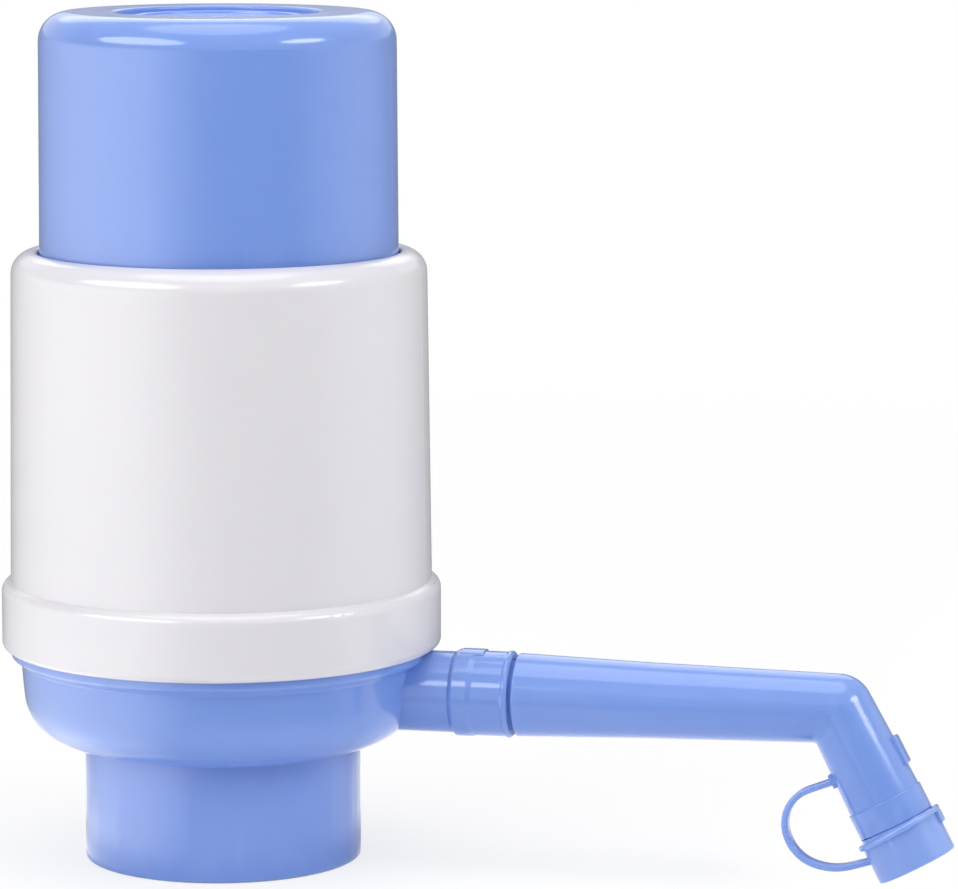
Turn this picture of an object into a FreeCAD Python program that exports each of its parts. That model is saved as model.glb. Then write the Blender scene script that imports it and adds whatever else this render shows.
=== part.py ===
import FreeCAD, Part

import math
import os

# Hand pump for a water jug: a press cap works a bellows, the bellows blows air into the jug, and the
# air lifts the water through the riser and out of the spout.
# Millimetres. +Z is up and the spout points along +X. The origin is the centre of the neck socket's
# mouth, on the plane that the pump stands on.

Vector = FreeCAD.Vector
ORIGIN = Vector(0, 0, 0)
X_AXIS = Vector(1, 0, 0)
Y_AXIS = Vector(0, 1, 0)
Z_AXIS = Vector(0, 0, 1)

# ---------------------------------------------------------------------------------------------
# Driving dimensions
# ---------------------------------------------------------------------------------------------

# Clearances
push_gap = 0.05  # between pieces that are pushed together
plate_gap = 0.1  # radial, plates and clamp rings in their seats
tray_gap = 0.15  # radial, deck's tray in the bowl's upstand
bellows_gap = 0.2  # radial, bellows flanges in their seats
running_gap = 0.06  # radial, where a stem, spigot or cap slides or turns
guide_gap = 0.5  # radial, press cap skirt in the outer sleeve
rest_gap = 0.1  # between faces of two moving pieces that rest on each other
stop_gap = 0.3  # between the press cap and its end stops

# Shared by the mouldings and by the tools that cut them
edge_radius = 0.4  # small moulded edges
fine_edge_radius = 0.2  # the smallest ones, on the collar and the tip
root_overlap = 0.5  # how deep an added form is rooted in the wall that carries it
cutter_overshoot = 1.0  # how far a cutting tool passes the faces that it opens

# Jug neck and the socket that takes it
jug_neck_radius = 27.5
jug_neck_gap = 0.1
grip_sleeve_wall = 1.15
grip_rib_height = 0.9
grip_rib_width = 1.4
grip_rib_count = 22
neck_wall = 1.8
neck_edge_radius = 0.5
neck_height = 26.4  # rim to the underside of the bowl
neck_lip_height = 1.2
neck_gasket_thickness = 2.0
neck_gasket_bore_radius = 22.5

# Dip tube socket
dip_tube_radius = 5.0
dip_socket_depth = 11.0
riser_bore_radius = 4.0
riser_wall = 2.2

# Press cap
cap_radius = 40.5  # at the sleeve's lip
cap_top_radius = 40.15
cap_exposed_height = 53.7
cap_wall = 2.2
cap_roof = 2.5
cap_edge_radius = 6.6
cap_recess_radius = 23.2
cap_recess_depth = 1.3
cap_recess_edge_radius = 0.6
cap_hub_radius = 5.0
cap_hub_wall = 2.0
cap_rib_count = 6
cap_rib_depth = 14.0
cap_rib_thickness = 1.6
cap_shoulder_width = 4.0
cap_shoulder_thickness = 2.5
cap_travel = 45.0
air_slot_count = 6
air_slot_width = 8.0
air_slot_height = 1.6

# Outer sleeve
sleeve_top_wall = 1.9
sleeve_foot_wall = 2.9
sleeve_height = 90.15
sleeve_lip_gap = 0.5
sleeve_lip_thickness = 3.0
sleeve_lip_edge_radius = 0.8
sleeve_edge_radius = 5.0
skirt_wall = 2.8
skirt_height = 15.35  # foot to the crease under the sleeve's wall
skirt_shoulder_radius = 2.2
skirt_shoulder_slope = 1.0  # drop of the shoulder from the crease outwards
skirt_foot_radius = 1.6

# Bowl
bowl_wall = 1.95
bowl_floor = 2.2
bowl_height = 22.45  # underside to the flange's top face
bowl_draft = 0.0823  # how far the wall draws in per millimetre downwards
bowl_corner_height = 12.3  # underside to where the wall starts to curve in
bowl_corner_rise = 2.1  # underside to the corner that the curve rounds off
bowl_corner_wall = 1.6
bowl_corner_floor = 1.6
bowl_rim_ledge = 0.45  # neck to the bowl's lower edge
bowl_rim_rise = 0.25
bowl_rim_radius = 0.35
bowl_rim_flat = 0.6  # straight run between the lower edge and the curve
bowl_flange_thickness = 1.75
bowl_flange_slope = 1.7
bowl_flange_ledge = 0.8
bowl_flange_edge_radius = 1.0
bowl_flange_foot_radius = 0.6
upstand_height = 8.15
upstand_wall = 1.9
lug_depth = 1.25
lug_height = 2.8
lug_gap = 0.25
lug_angle = 22.0
lug_count = 4
lug_start_angle = 45.0
hub_opening_radius = 21.0
hub_wall = 1.8
hub_spoke_width = 2.4
hub_spoke_count = 4
hub_spoke_start_angle = 45.0

# Deck, bellows and clamp rings
deck_gasket_thickness = 1.5
deck_thickness = 2.2
tray_wall = 1.3
plate_thickness = 2.2
bellows_wall = 1.1
bellows_flange = 1.6
bellows_wall_gap = 3.9  # clamp seat to the folds' crests
bellows_fold_depth = 7.4
bellows_folds = 6
clamp_height = 2.8
clamp_width = 3.3
clamp_bead = 0.4
clamp_bead_height = 0.8

# Return spring
spring_radius = 16.0  # coil centre line
spring_wire_radius = 0.9
spring_section_sides = 6
spring_turns = 6
spring_seat_height = 3.0
spring_seat_wall = 1.2

# Mushroom valves
flap_radius = 9.5
flap_crown_radius = 3.8
flap_centre_thickness = 1.2
flap_rim_thickness = 0.55
valve_stem_radius = 2.0
valve_bulb_radius = 3.2
valve_bulb_tip_radius = 1.6
valve_bulb_height = 2.4
valve_lift = 1.4
valve_port_count = 6
valve_port_radius = 1.6
valve_port_circle = 6.0

# Spout stub and collar
riser_arm_gap = 2.6  # bowl floor to the underside of the riser's arm
stub_radius = 9.2
stub_length = 16.5  # bowl wall to the stub's end
stub_root = 3.0  # how deep the stub's full radius starts inside the upstand's bore
spigot_radius = 6.55
boss_wall = 2.0
boss_depth = 4.8
collar_length = 13.5
collar_radius = 9.85
collar_front_radius = 9.6
collar_chamfer = 0.8
collar_step_start = 4.2
collar_step_slope = 1.0
collar_bead_width = 0.8
collar_bead_height = 0.2
collar_bead_slope = 0.4
collar_lip_thickness = 1.8
collar_lip_overlap = 0.3  # how far the lip reaches in over the spout's flange
collar_overlap = 7.5  # length of the stub inside the collar
collar_pad_start = 1.2
collar_pad_length = 5.9
collar_pad_angle = 36.0
collar_pad_height = 0.25
spout_flange_radius = 8.3
spigot_reach = 31.0  # pump axis to the spigot's inner end
spigot_groove_wall = 0.6  # from the O-ring grooves' floor to the water way
o_ring_section = 0.9
o_ring_stretch = 0.08
outer_o_ring_offset = 4.0  # from the stub's end to the outer O-ring
inner_o_ring_offset = 5.0  # from the spigot's end to the inner O-ring

# Spout
spout_groove = 1.2  # between the collar and the pipe's shoulder
pipe_root_radius = 9.4
pipe_bend_point = 99.1
pipe_middle_radius = 8.52
elbow_reach = 141.9  # pump axis to the elbow's corner
elbow_radius = 7.75
elbow_drop_angle = 61.65  # below the horizontal
elbow_inner_fillet = 2.2
elbow_bend_inset = 0.02  # keeps the bend's skin just inside the pipes that it joins
spout_wall = 1.6
spout_turn = 5.0  # about its own axis at rest, which takes the tip towards -Y
leg_collar_start = 22.45  # elbow's corner to the tip collar
leg_collar_length = 5.95
leg_end_radius = 8.45
leg_collar_radius = 8.75
tip_spigot_radius = 8.1
tip_spigot_length = 9.1
lug_pad_start = 10.8
lug_pad_length = 6.9
lug_pad_width = 5.0
lug_pad_height = 0.8
lug_pad_edge_radius = 0.6

# Dust cap and its strap
dust_cap_wall = 1.15
dust_cap_end = 1.2
dust_cap_flange_width = 0.8
dust_cap_flange_thickness = 1.5
dust_cap_end_radius = 0.6
dust_tab_length = 4.1
dust_tab_width = 4.0
dust_tab_thickness = 0.7
strap_width = 4.0
strap_thickness = 1.5
strap_gap = 0.25  # soft ribbon's ends to the pad and the dust cap
strap_root = 13.86  # elbow's corner to the strap's pad, along the leg
strap_drop = 4.96  # dust cap's mouth to the strap's lower end
strap_pad_length = 3.2
strap_pad_width = 5.0
strap_pad_height = 0.5
strap_upper_bulge = 20.56
strap_lower_bulge = 10.19
strap_upper_rise = 2.33
strap_lower_rise = 2.78
strap_upper_bend = 8.24
strap_lower_bend = 8.8

# ---------------------------------------------------------------------------------------------
# Values worked out from the driving dimensions
# ---------------------------------------------------------------------------------------------

# Radii from the jug's neck outwards
grip_bore_radius = jug_neck_radius + jug_neck_gap
grip_outer_radius = grip_bore_radius + grip_sleeve_wall
neck_bore_radius = grip_outer_radius + push_gap + grip_rib_height
neck_radius = neck_bore_radius + neck_wall

# Radii from the press cap outwards
guide_radius = cap_radius + cap_shoulder_width
clamp_seat_radius = guide_radius - cap_wall
sleeve_bore_radius = guide_radius + guide_gap
tray_radius = clamp_seat_radius + tray_wall
upstand_bore_radius = tray_radius + tray_gap
upstand_radius = upstand_bore_radius + upstand_wall
lug_radius = upstand_radius + lug_depth
skirt_bore_radius = lug_radius + lug_gap
skirt_radius = skirt_bore_radius + skirt_wall
bowl_radius = upstand_bore_radius + bowl_wall
bowl_flange_radius = skirt_bore_radius + bowl_flange_ledge
bellows_crest_radius = clamp_seat_radius - bellows_wall_gap
bellows_root_radius = bellows_crest_radius - bellows_fold_depth

# Heights from the neck's rim upwards
bowl_floor_top = neck_height + bowl_floor
bowl_top = neck_height + bowl_height
upstand_top = bowl_top + upstand_height
deck_flange_bottom = upstand_top + deck_gasket_thickness
deck_top = deck_flange_bottom + deck_thickness
tray_floor_top = deck_top - bellows_flange - clamp_height - 2 * push_gap
tray_floor_bottom = tray_floor_top - deck_thickness
lower_clamp_bottom = tray_floor_top + bellows_flange + 2 * push_gap
crease_height = bowl_top + skirt_height
sleeve_top = bowl_top + sleeve_height
lip_underside = sleeve_top - sleeve_lip_thickness
shoulder_top = lip_underside - stop_gap
shoulder_underside = shoulder_top - cap_shoulder_thickness
guide_bottom = deck_top + cap_travel + stop_gap
cap_top = sleeve_top + cap_exposed_height
plate_bottom = shoulder_underside - plate_thickness
upper_clamp_bottom = plate_bottom - bellows_flange - 2 * rest_gap - clamp_height

# Places along the spout
arm_radius = spigot_radius + boss_wall
spout_height = bowl_floor_top + riser_arm_gap + arm_radius
stub_end = bowl_radius + stub_length
collar_start = stub_end - collar_overlap
collar_end = collar_start + collar_length
collar_lip_start = collar_end - collar_lip_thickness
collar_lip_bore_radius = spout_flange_radius - collar_lip_overlap
stub_neck_radius = spout_flange_radius + push_gap
spout_bore_radius = spigot_radius + running_gap
spigot_groove_radius = spigot_radius - 2 * o_ring_section + o_ring_stretch - running_gap
spigot_bore_radius = spigot_groove_radius - spigot_groove_wall
elbow_bore_radius = elbow_radius - spout_wall
tip_collar_end = leg_collar_start + leg_collar_length
tip_end = tip_collar_end + tip_spigot_length
dust_cap_start = tip_collar_end + rest_gap
dust_cap_bore_radius = tip_spigot_radius + running_gap
dust_cap_radius = dust_cap_bore_radius + dust_cap_wall
dust_flange_end = dust_cap_start + dust_cap_flange_thickness
dust_cap_inner_end = tip_end + 2 * rest_gap
dust_cap_length_end = dust_cap_inner_end + dust_cap_end


# ---------------------------------------------------------------------------------------------
# Shapes
# ---------------------------------------------------------------------------------------------


def unit(vector):
    """A copy of the vector with length 1."""
    return vector * (1.0 / vector.Length)


def rounded_corner(before, corner, after, rounding):
    """Start, end and curve of one corner: sharp, an arc of a radius, or a parabola of two reaches."""
    if not rounding:
        return corner, corner, None
    back = unit(before - corner)
    ahead = unit(after - corner)
    if isinstance(rounding, tuple):
        start = corner + back * rounding[0]
        end = corner + ahead * rounding[1]
        curve = Part.BezierCurve()
        curve.setPoles([start, corner, end])
        return start, end, curve
    half_angle = back.getAngle(ahead) / 2
    reach = rounding / math.tan(half_angle)
    bisector = unit(back + ahead)
    middle = corner + bisector * (rounding / math.sin(half_angle) - rounding)
    start = corner + back * reach
    end = corner + ahead * reach
    return start, end, Part.Arc(start, middle, end)


def outline(corners, closed=True):
    """Wire in the X-Z plane through corners (x, z), (x, z, radius) or (x, z, (reach back, reach ahead))."""
    points = [Vector(corner[0], 0, corner[1]) for corner in corners]
    pieces = []
    for index, corner in enumerate(corners):
        rounding = corner[2] if len(corner) > 2 else 0
        before = points[index - 1]
        after = points[(index + 1) % len(points)]
        pieces.append(rounded_corner(before, points[index], after, rounding))
    edges = []
    for index, (start, end, curve) in enumerate(pieces):
        last_end = pieces[index - 1][1]
        joined = closed or index > 0
        if joined and last_end.distanceToPoint(start) > 1e-6:
            edges.append(Part.LineSegment(last_end, start).toShape())
        if curve:
            edges.append(curve.toShape())
    return Part.Wire(edges)


def turned(corners, axis=Z_AXIS, sweep=360):
    """Solid of revolution of a closed outline in the X-Z plane."""
    return Part.Face(outline(corners)).revolve(ORIGIN, axis, sweep)


def turned_on_spout(corners):
    """Solid of revolution about the spout's centre line. Corners are (place along X, radius)."""
    shape = turned(corners, X_AXIS)
    shape.translate(Vector(0, 0, spout_height))
    return shape


def cylinder(radius, bottom, top):
    """Upright cylinder on the pump's axis."""
    return Part.makeCylinder(radius, top - bottom, Vector(0, 0, bottom))


def ring(inner_radius, outer_radius, bottom, top):
    """Upright ring on the pump's axis."""
    return turned([(inner_radius, bottom), (outer_radius, bottom), (outer_radius, top), (inner_radius, top)])


def ring_segment(inner_radius, outer_radius, bottom, top, sweep, middle):
    """Part of an upright ring, centred on an angle about the pump's axis."""
    corners = [(inner_radius, bottom), (outer_radius, bottom), (outer_radius, top), (inner_radius, top)]
    shape = turned(corners, Z_AXIS, sweep)
    shape.rotate(ORIGIN, Z_AXIS, middle - sweep / 2)
    return shape


def block(length, width, height, centre_x, bottom):
    """Box centred on Y, with its middle at centre_x and its underside at bottom."""
    return Part.makeBox(length, width, height, Vector(centre_x - length / 2, -width / 2, bottom))


def around(shape, count, first_angle=0.0):
    """Copies of a shape, evenly spaced about the pump's axis."""
    copies = []
    for index in range(count):
        copy = shape.copy()
        copy.rotate(ORIGIN, Z_AXIS, first_angle + 360.0 * index / count)
        copies.append(copy)
    return copies


def fused(shape, others):
    """One solid of a shape and everything that joins it."""
    return shape.multiFuse(others).removeSplitter()


def on_leg(shape):
    """Put a shape from the leg's own frame on the spout: its Z runs down the leg, its X to the pump side."""
    placed = shape.copy()
    placed.rotate(ORIGIN, Y_AXIS, 90 + elbow_drop_angle)
    placed.rotate(ORIGIN, X_AXIS, -spout_turn)
    placed.translate(Vector(elbow_reach, 0, spout_height))
    return placed


def leg_radius(distance):
    """Outer radius of the leg at a distance from the elbow's corner."""
    return elbow_radius + (leg_end_radius - elbow_radius) * distance / leg_collar_start


# ---------------------------------------------------------------------------------------------
# Press cap and what rides in it
# ---------------------------------------------------------------------------------------------


def make_press_cap():
    """Domed cup with a wider guide skirt, the shoulder that stops it under the lip, and the clamp groove."""
    bore = cap_radius - cap_wall
    groove_middle = upper_clamp_bottom + clamp_height / 2
    groove_bottom = groove_middle - clamp_bead_height / 2 - push_gap
    groove_top = groove_middle + clamp_bead_height / 2 + push_gap
    groove_radius = clamp_seat_radius + clamp_bead + push_gap
    recess_floor = cap_top - cap_recess_depth
    body = turned([
        (0, recess_floor - cap_roof),
        (cap_top_radius - cap_wall, recess_floor - cap_roof, cap_edge_radius - cap_wall),
        (bore, shoulder_underside),
        (clamp_seat_radius, shoulder_underside),
        (clamp_seat_radius, groove_top),
        (groove_radius, groove_top),
        (groove_radius, groove_bottom),
        (clamp_seat_radius, groove_bottom),
        (clamp_seat_radius, guide_bottom),
        (guide_radius, guide_bottom, edge_radius),
        (guide_radius, shoulder_top, edge_radius),
        (cap_radius, shoulder_top),
        (cap_radius, sleeve_top),
        (cap_top_radius, cap_top, cap_edge_radius),
        (cap_recess_radius, cap_top, cap_recess_edge_radius),
        (cap_recess_radius, recess_floor),
        (0, recess_floor),
    ])
    rib_top = recess_floor - cap_roof
    rib_bottom = rib_top - cap_rib_depth
    rib_start = cap_hub_radius - cap_hub_wall / 2
    rib = Part.makeBox(
        bore + root_overlap - rib_start,
        cap_rib_thickness,
        cap_rib_depth + root_overlap,
        Vector(rib_start, -cap_rib_thickness / 2, rib_bottom),
    )
    hub = ring(cap_hub_radius - cap_hub_wall, cap_hub_radius, rib_bottom, rib_top + root_overlap)
    slot = Part.makeBox(
        cap_wall + 2 * cutter_overshoot,
        air_slot_width,
        air_slot_height,
        Vector(bore - cutter_overshoot, -air_slot_width / 2, shoulder_top + edge_radius),
    )
    joined = fused(body, around(rib, cap_rib_count) + [hub])
    return joined.cut(around(slot, air_slot_count))


def port_holes(bottom, top):
    """Air ports of a mushroom valve, and the hole that guides its stem."""
    start = bottom - cutter_overshoot
    end = top + cutter_overshoot
    port = Part.makeCylinder(valve_port_radius, end - start, Vector(valve_port_circle, 0, start))
    guide = cylinder(valve_stem_radius + running_gap, start, end)
    return around(port, valve_port_count) + [guide]


def mushroom_valve(seat, plate_top):
    """Rubber flap under a plate, hung by a stem whose bulb stops the fall after the lift."""
    flap_top = seat - rest_gap
    bulb_bottom = plate_top + valve_lift + rest_gap
    bulb_top = bulb_bottom + valve_bulb_height
    return turned([
        (0, flap_top - flap_centre_thickness),
        (flap_crown_radius, flap_top - flap_centre_thickness),
        (flap_radius, flap_top - flap_rim_thickness),
        (flap_radius, flap_top),
        (valve_stem_radius, flap_top),
        (valve_stem_radius, bulb_bottom),
        (valve_bulb_radius, bulb_bottom),
        (valve_bulb_tip_radius, bulb_top),
        (0, bulb_top),
    ])


def spring_seat(start, end):
    """Short ring that centres the end of the return spring."""
    outer = spring_radius - spring_wire_radius - stop_gap
    return ring(outer - spring_seat_wall, outer, min(start, end), max(start, end))


def make_intake_plate():
    """Plate under the press cap's shoulder, with the intake valve's seat and the spring's upper seat."""
    plate = cylinder(clamp_seat_radius - plate_gap, plate_bottom, shoulder_underside - push_gap)
    seat = spring_seat(plate_bottom, plate_bottom - spring_seat_height)
    return fused(plate, [seat]).cut(port_holes(plate_bottom, shoulder_underside))


def make_intake_valve():
    """Mushroom valve that lets air into the bellows as the cap rises."""
    return mushroom_valve(plate_bottom, shoulder_underside)


def clamp_ring(bottom):
    """Snap ring with a bead, which presses a bellows flange to its plate."""
    outer = clamp_seat_radius - plate_gap
    middle = bottom + clamp_height / 2
    bead_radius = clamp_seat_radius + clamp_bead - push_gap
    return turned([
        (outer - clamp_width, bottom),
        (outer, bottom),
        (outer, middle - clamp_bead_height / 2),
        (bead_radius, middle - clamp_bead_height / 4),
        (bead_radius, middle + clamp_bead_height / 4),
        (outer, middle + clamp_bead_height / 2),
        (outer, bottom + clamp_height),
        (outer - clamp_width, bottom + clamp_height),
    ])


def make_upper_clamp_ring():
    """Clamp ring in the press cap."""
    return clamp_ring(upper_clamp_bottom)


# ---------------------------------------------------------------------------------------------
# Bellows, spring, deck and sleeve
# ---------------------------------------------------------------------------------------------


def make_bellows():
    """Folded rubber wall between two flat flanges."""
    bottom = tray_floor_top + push_gap
    top = plate_bottom - rest_gap
    flange_radius = clamp_seat_radius - bellows_gap
    fold_bottom = bottom + bellows_flange
    fold_top = top - bellows_flange
    half_fold = (fold_top - fold_bottom) / (2 * bellows_folds)
    slope = math.atan2(bellows_crest_radius - bellows_root_radius, half_fold)
    offset = bellows_wall / math.cos(slope)
    outside = []
    for index in range(2 * bellows_folds + 1):
        radius = bellows_crest_radius if index % 2 else bellows_root_radius
        outside.append((radius, fold_bottom + index * half_fold))
    inside = [(radius - offset, height) for radius, height in reversed(outside)]
    corners = [(bellows_root_radius - offset, bottom), (flange_radius, bottom), (flange_radius, fold_bottom)]
    corners += outside
    corners += [(flange_radius, fold_top), (flange_radius, top), (bellows_root_radius - offset, top)]
    corners += inside[1:-1]
    return turned(corners)


def make_return_spring():
    """Coil spring inside the bellows, with its ends on the two spring seats."""
    bottom = tray_floor_top + push_gap + spring_wire_radius
    top = plate_bottom - rest_gap - spring_wire_radius
    pitch = (top - bottom) / spring_turns
    helix = Part.makeHelix(pitch, top - bottom, spring_radius)
    helix.translate(Vector(0, 0, bottom))
    corners = []
    for side in range(spring_section_sides + 1):
        angle = 2 * math.pi * side / spring_section_sides
        out = spring_wire_radius * math.cos(angle)
        up = spring_wire_radius * math.sin(angle)
        corners.append(Vector(spring_radius + out, 0, bottom + up))
    section = Part.makePolygon(corners)
    return Part.Wire(helix).makePipeShell([section], True, True)


def make_valve_deck():
    """Tray that closes the bowl: valve seat, spring seat, and the groove that holds the clamp ring."""
    groove_middle = lower_clamp_bottom + clamp_height / 2
    groove_radius = clamp_seat_radius + clamp_bead + push_gap
    groove_half = clamp_bead_height / 2 + push_gap
    tray = turned([
        (0, tray_floor_bottom),
        (tray_radius, tray_floor_bottom, edge_radius),
        (tray_radius, deck_flange_bottom),
        (lug_radius - push_gap, deck_flange_bottom),
        (lug_radius - push_gap, deck_top),
        (clamp_seat_radius, deck_top),
        (clamp_seat_radius, groove_middle + groove_half),
        (groove_radius, groove_middle + groove_half),
        (groove_radius, groove_middle - groove_half),
        (clamp_seat_radius, groove_middle - groove_half),
        (clamp_seat_radius, tray_floor_top),
        (0, tray_floor_top),
    ])
    seat = spring_seat(tray_floor_top, tray_floor_top + spring_seat_height)
    return fused(tray, [seat]).cut(port_holes(tray_floor_bottom, tray_floor_top))


def make_delivery_valve():
    """Mushroom valve that lets air out of the bellows and down into the jug."""
    return mushroom_valve(tray_floor_bottom, tray_floor_top)


def make_lower_clamp_ring():
    """Clamp ring in the deck's tray."""
    return clamp_ring(lower_clamp_bottom)


def make_deck_gasket():
    """Flat rubber ring between the bowl's upstand and the deck's flange."""
    return ring(upstand_bore_radius, upstand_radius, upstand_top, deck_flange_bottom)


def make_outer_sleeve():
    """Sleeve with the inward lip at its mouth, the wider skirt at its foot, and the bayonet ledges."""
    lip_bore = cap_radius + sleeve_lip_gap
    shell = turned([
        (skirt_bore_radius, bowl_top),
        (skirt_radius, bowl_top, skirt_foot_radius),
        (skirt_radius, crease_height - skirt_shoulder_slope, skirt_shoulder_radius),
        (sleeve_bore_radius + sleeve_foot_wall, crease_height),
        (sleeve_bore_radius + sleeve_top_wall, sleeve_top, sleeve_edge_radius),
        (lip_bore, sleeve_top, sleeve_lip_edge_radius),
        (lip_bore, lip_underside),
        (sleeve_bore_radius, lip_underside),
        (sleeve_bore_radius, deck_top),
        (skirt_bore_radius, deck_top),
    ])
    ledge_top = upstand_top - lug_height - 2 * push_gap - rest_gap
    ledge_bore = upstand_radius + lug_gap
    ledge_root = skirt_bore_radius + root_overlap
    ledge = ring_segment(
        ledge_bore, ledge_root, ledge_top - lug_height, ledge_top, lug_angle, lug_start_angle
    )
    return fused(shell, around(ledge, lug_count))


# ---------------------------------------------------------------------------------------------
# Bowl, neck and riser
# ---------------------------------------------------------------------------------------------


def make_base_bowl():
    """Bowl, jug neck and spout stub in one moulding."""
    gasket_bottom = neck_height - neck_gasket_thickness
    flange_bottom = bowl_top - bowl_flange_thickness
    wall_bottom = flange_bottom - bowl_flange_slope
    rim_out = neck_radius + bowl_rim_ledge
    rim_height = neck_height + bowl_rim_rise
    corner_place = neck_height + bowl_corner_rise
    corner_radius = bowl_radius - bowl_draft * (wall_bottom - corner_place)
    corner_reach = math.hypot(corner_radius - rim_out, corner_place - rim_height) - bowl_rim_flat
    corner_rise = bowl_corner_height - bowl_corner_rise
    inner_corner_radius = corner_radius - bowl_corner_wall
    inner_corner_reach = corner_reach - bowl_corner_wall
    shell = turned([
        (grip_bore_radius, 0),
        (neck_radius, 0, neck_edge_radius),
        (neck_radius, neck_height),
        (rim_out, rim_height, bowl_rim_radius),
        (corner_radius, corner_place, (corner_reach, corner_rise)),
        (bowl_radius, wall_bottom, bowl_flange_foot_radius),
        (bowl_flange_radius, flange_bottom, bowl_flange_edge_radius),
        (bowl_flange_radius, bowl_top),
        (upstand_radius, bowl_top),
        (upstand_radius, upstand_top),
        (upstand_bore_radius, upstand_top),
        (upstand_bore_radius, wall_bottom),
        (inner_corner_radius, corner_place + bowl_corner_floor, (corner_rise, inner_corner_reach)),
        (rim_out, bowl_floor_top),
        (hub_opening_radius, bowl_floor_top),
        (hub_opening_radius, neck_height),
        (neck_bore_radius, neck_height),
        (neck_bore_radius, neck_lip_height),
        (grip_bore_radius, neck_lip_height),
    ])
    rib = Part.makeBox(
        grip_rib_height + root_overlap,
        grip_rib_width,
        gasket_bottom - neck_lip_height - push_gap,
        Vector(neck_bore_radius - grip_rib_height, -grip_rib_width / 2, neck_lip_height),
    )
    half_pitch = 180.0 / grip_rib_count
    lug_top = upstand_top - push_gap
    lug_root = upstand_radius - root_overlap
    lug = ring_segment(lug_root, lug_radius, lug_top - lug_height, lug_top, lug_angle, lug_start_angle)
    hub_radius = dip_tube_radius + riser_wall + push_gap
    hub = ring(hub_radius, hub_radius + hub_wall, neck_height, bowl_floor_top)
    spoke_start = hub_radius + hub_wall / 2
    spoke = Part.makeBox(
        hub_opening_radius + root_overlap - spoke_start,
        hub_spoke_width,
        bowl_floor,
        Vector(spoke_start, -hub_spoke_width / 2, neck_height),
    )
    additions = around(rib, grip_rib_count, half_pitch) + around(lug, lug_count)
    additions += [hub] + around(spoke, hub_spoke_count, hub_spoke_start_angle)
    shell = fused(shell, additions + [spout_stub()])
    return shell.cut(stub_bore())


def spout_stub():
    """Stub on the bowl that carries the spout, flattened under the sleeve's skirt."""
    inner_end = upstand_bore_radius - boss_depth
    outside = turned_on_spout([
        (inner_end, 0),
        (inner_end, arm_radius),
        (upstand_bore_radius - stub_root, arm_radius),
        (upstand_bore_radius - stub_root, stub_radius),
        (collar_start - push_gap, stub_radius),
        (collar_start - push_gap, stub_neck_radius - push_gap),
        (stub_end, stub_neck_radius - push_gap),
        (stub_end, 0),
    ])
    under_skirt = ring(upstand_bore_radius, collar_start, bowl_top, bowl_top + stub_radius)
    return outside.cut(under_skirt)


def stub_bore():
    """Bore for the spout's spigot, from inside the bowl to the stub's end."""
    start = upstand_bore_radius - boss_depth - cutter_overshoot
    length = stub_end + cutter_overshoot - start
    return Part.makeCylinder(spout_bore_radius, length, Vector(start, 0, spout_height), X_AXIS)


def make_riser_elbow():
    """Water way: socket for the dip tube in the hub, then a turn towards the spout's spigot."""
    outer_radius = dip_tube_radius + riser_wall
    arm_end = upstand_bore_radius - boss_depth - rest_gap
    column = cylinder(outer_radius, neck_height, spout_height)
    shoulder_bottom = bowl_floor_top + push_gap
    shoulder = cylinder(outer_radius + hub_wall, shoulder_bottom, shoulder_bottom + hub_wall)
    cap = Part.makeSphere(outer_radius, Vector(0, 0, spout_height))
    arm = Part.makeCylinder(arm_radius, arm_end, Vector(0, 0, spout_height), X_AXIS)
    body = fused(column, [shoulder, cap, arm])
    socket = cylinder(dip_tube_radius, neck_height - cutter_overshoot, neck_height + dip_socket_depth)
    rise = cylinder(riser_bore_radius, neck_height, spout_height)
    turn = Part.makeSphere(riser_bore_radius, Vector(0, 0, spout_height))
    run = Part.makeCylinder(riser_bore_radius, arm_end, Vector(0, 0, spout_height), X_AXIS)
    spigot_socket = Part.makeCylinder(
        spout_bore_radius, arm_end, Vector(spigot_reach - rest_gap, 0, spout_height), X_AXIS
    )
    return body.cut([socket, rise, turn, run, spigot_socket])


def make_grip_sleeve():
    """Rubber liner of the neck, held by the ribs above the rim's lip."""
    bottom = neck_lip_height + push_gap
    top = neck_height - neck_gasket_thickness - push_gap
    return ring(grip_bore_radius, grip_outer_radius, bottom, top)


def make_neck_gasket():
    """Flat rubber ring that seals on the jug's rim."""
    bottom = neck_height - neck_gasket_thickness
    return ring(neck_gasket_bore_radius, neck_bore_radius - push_gap, bottom, neck_height)


# ---------------------------------------------------------------------------------------------
# Spout, collar and dust cap
# ---------------------------------------------------------------------------------------------


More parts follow.
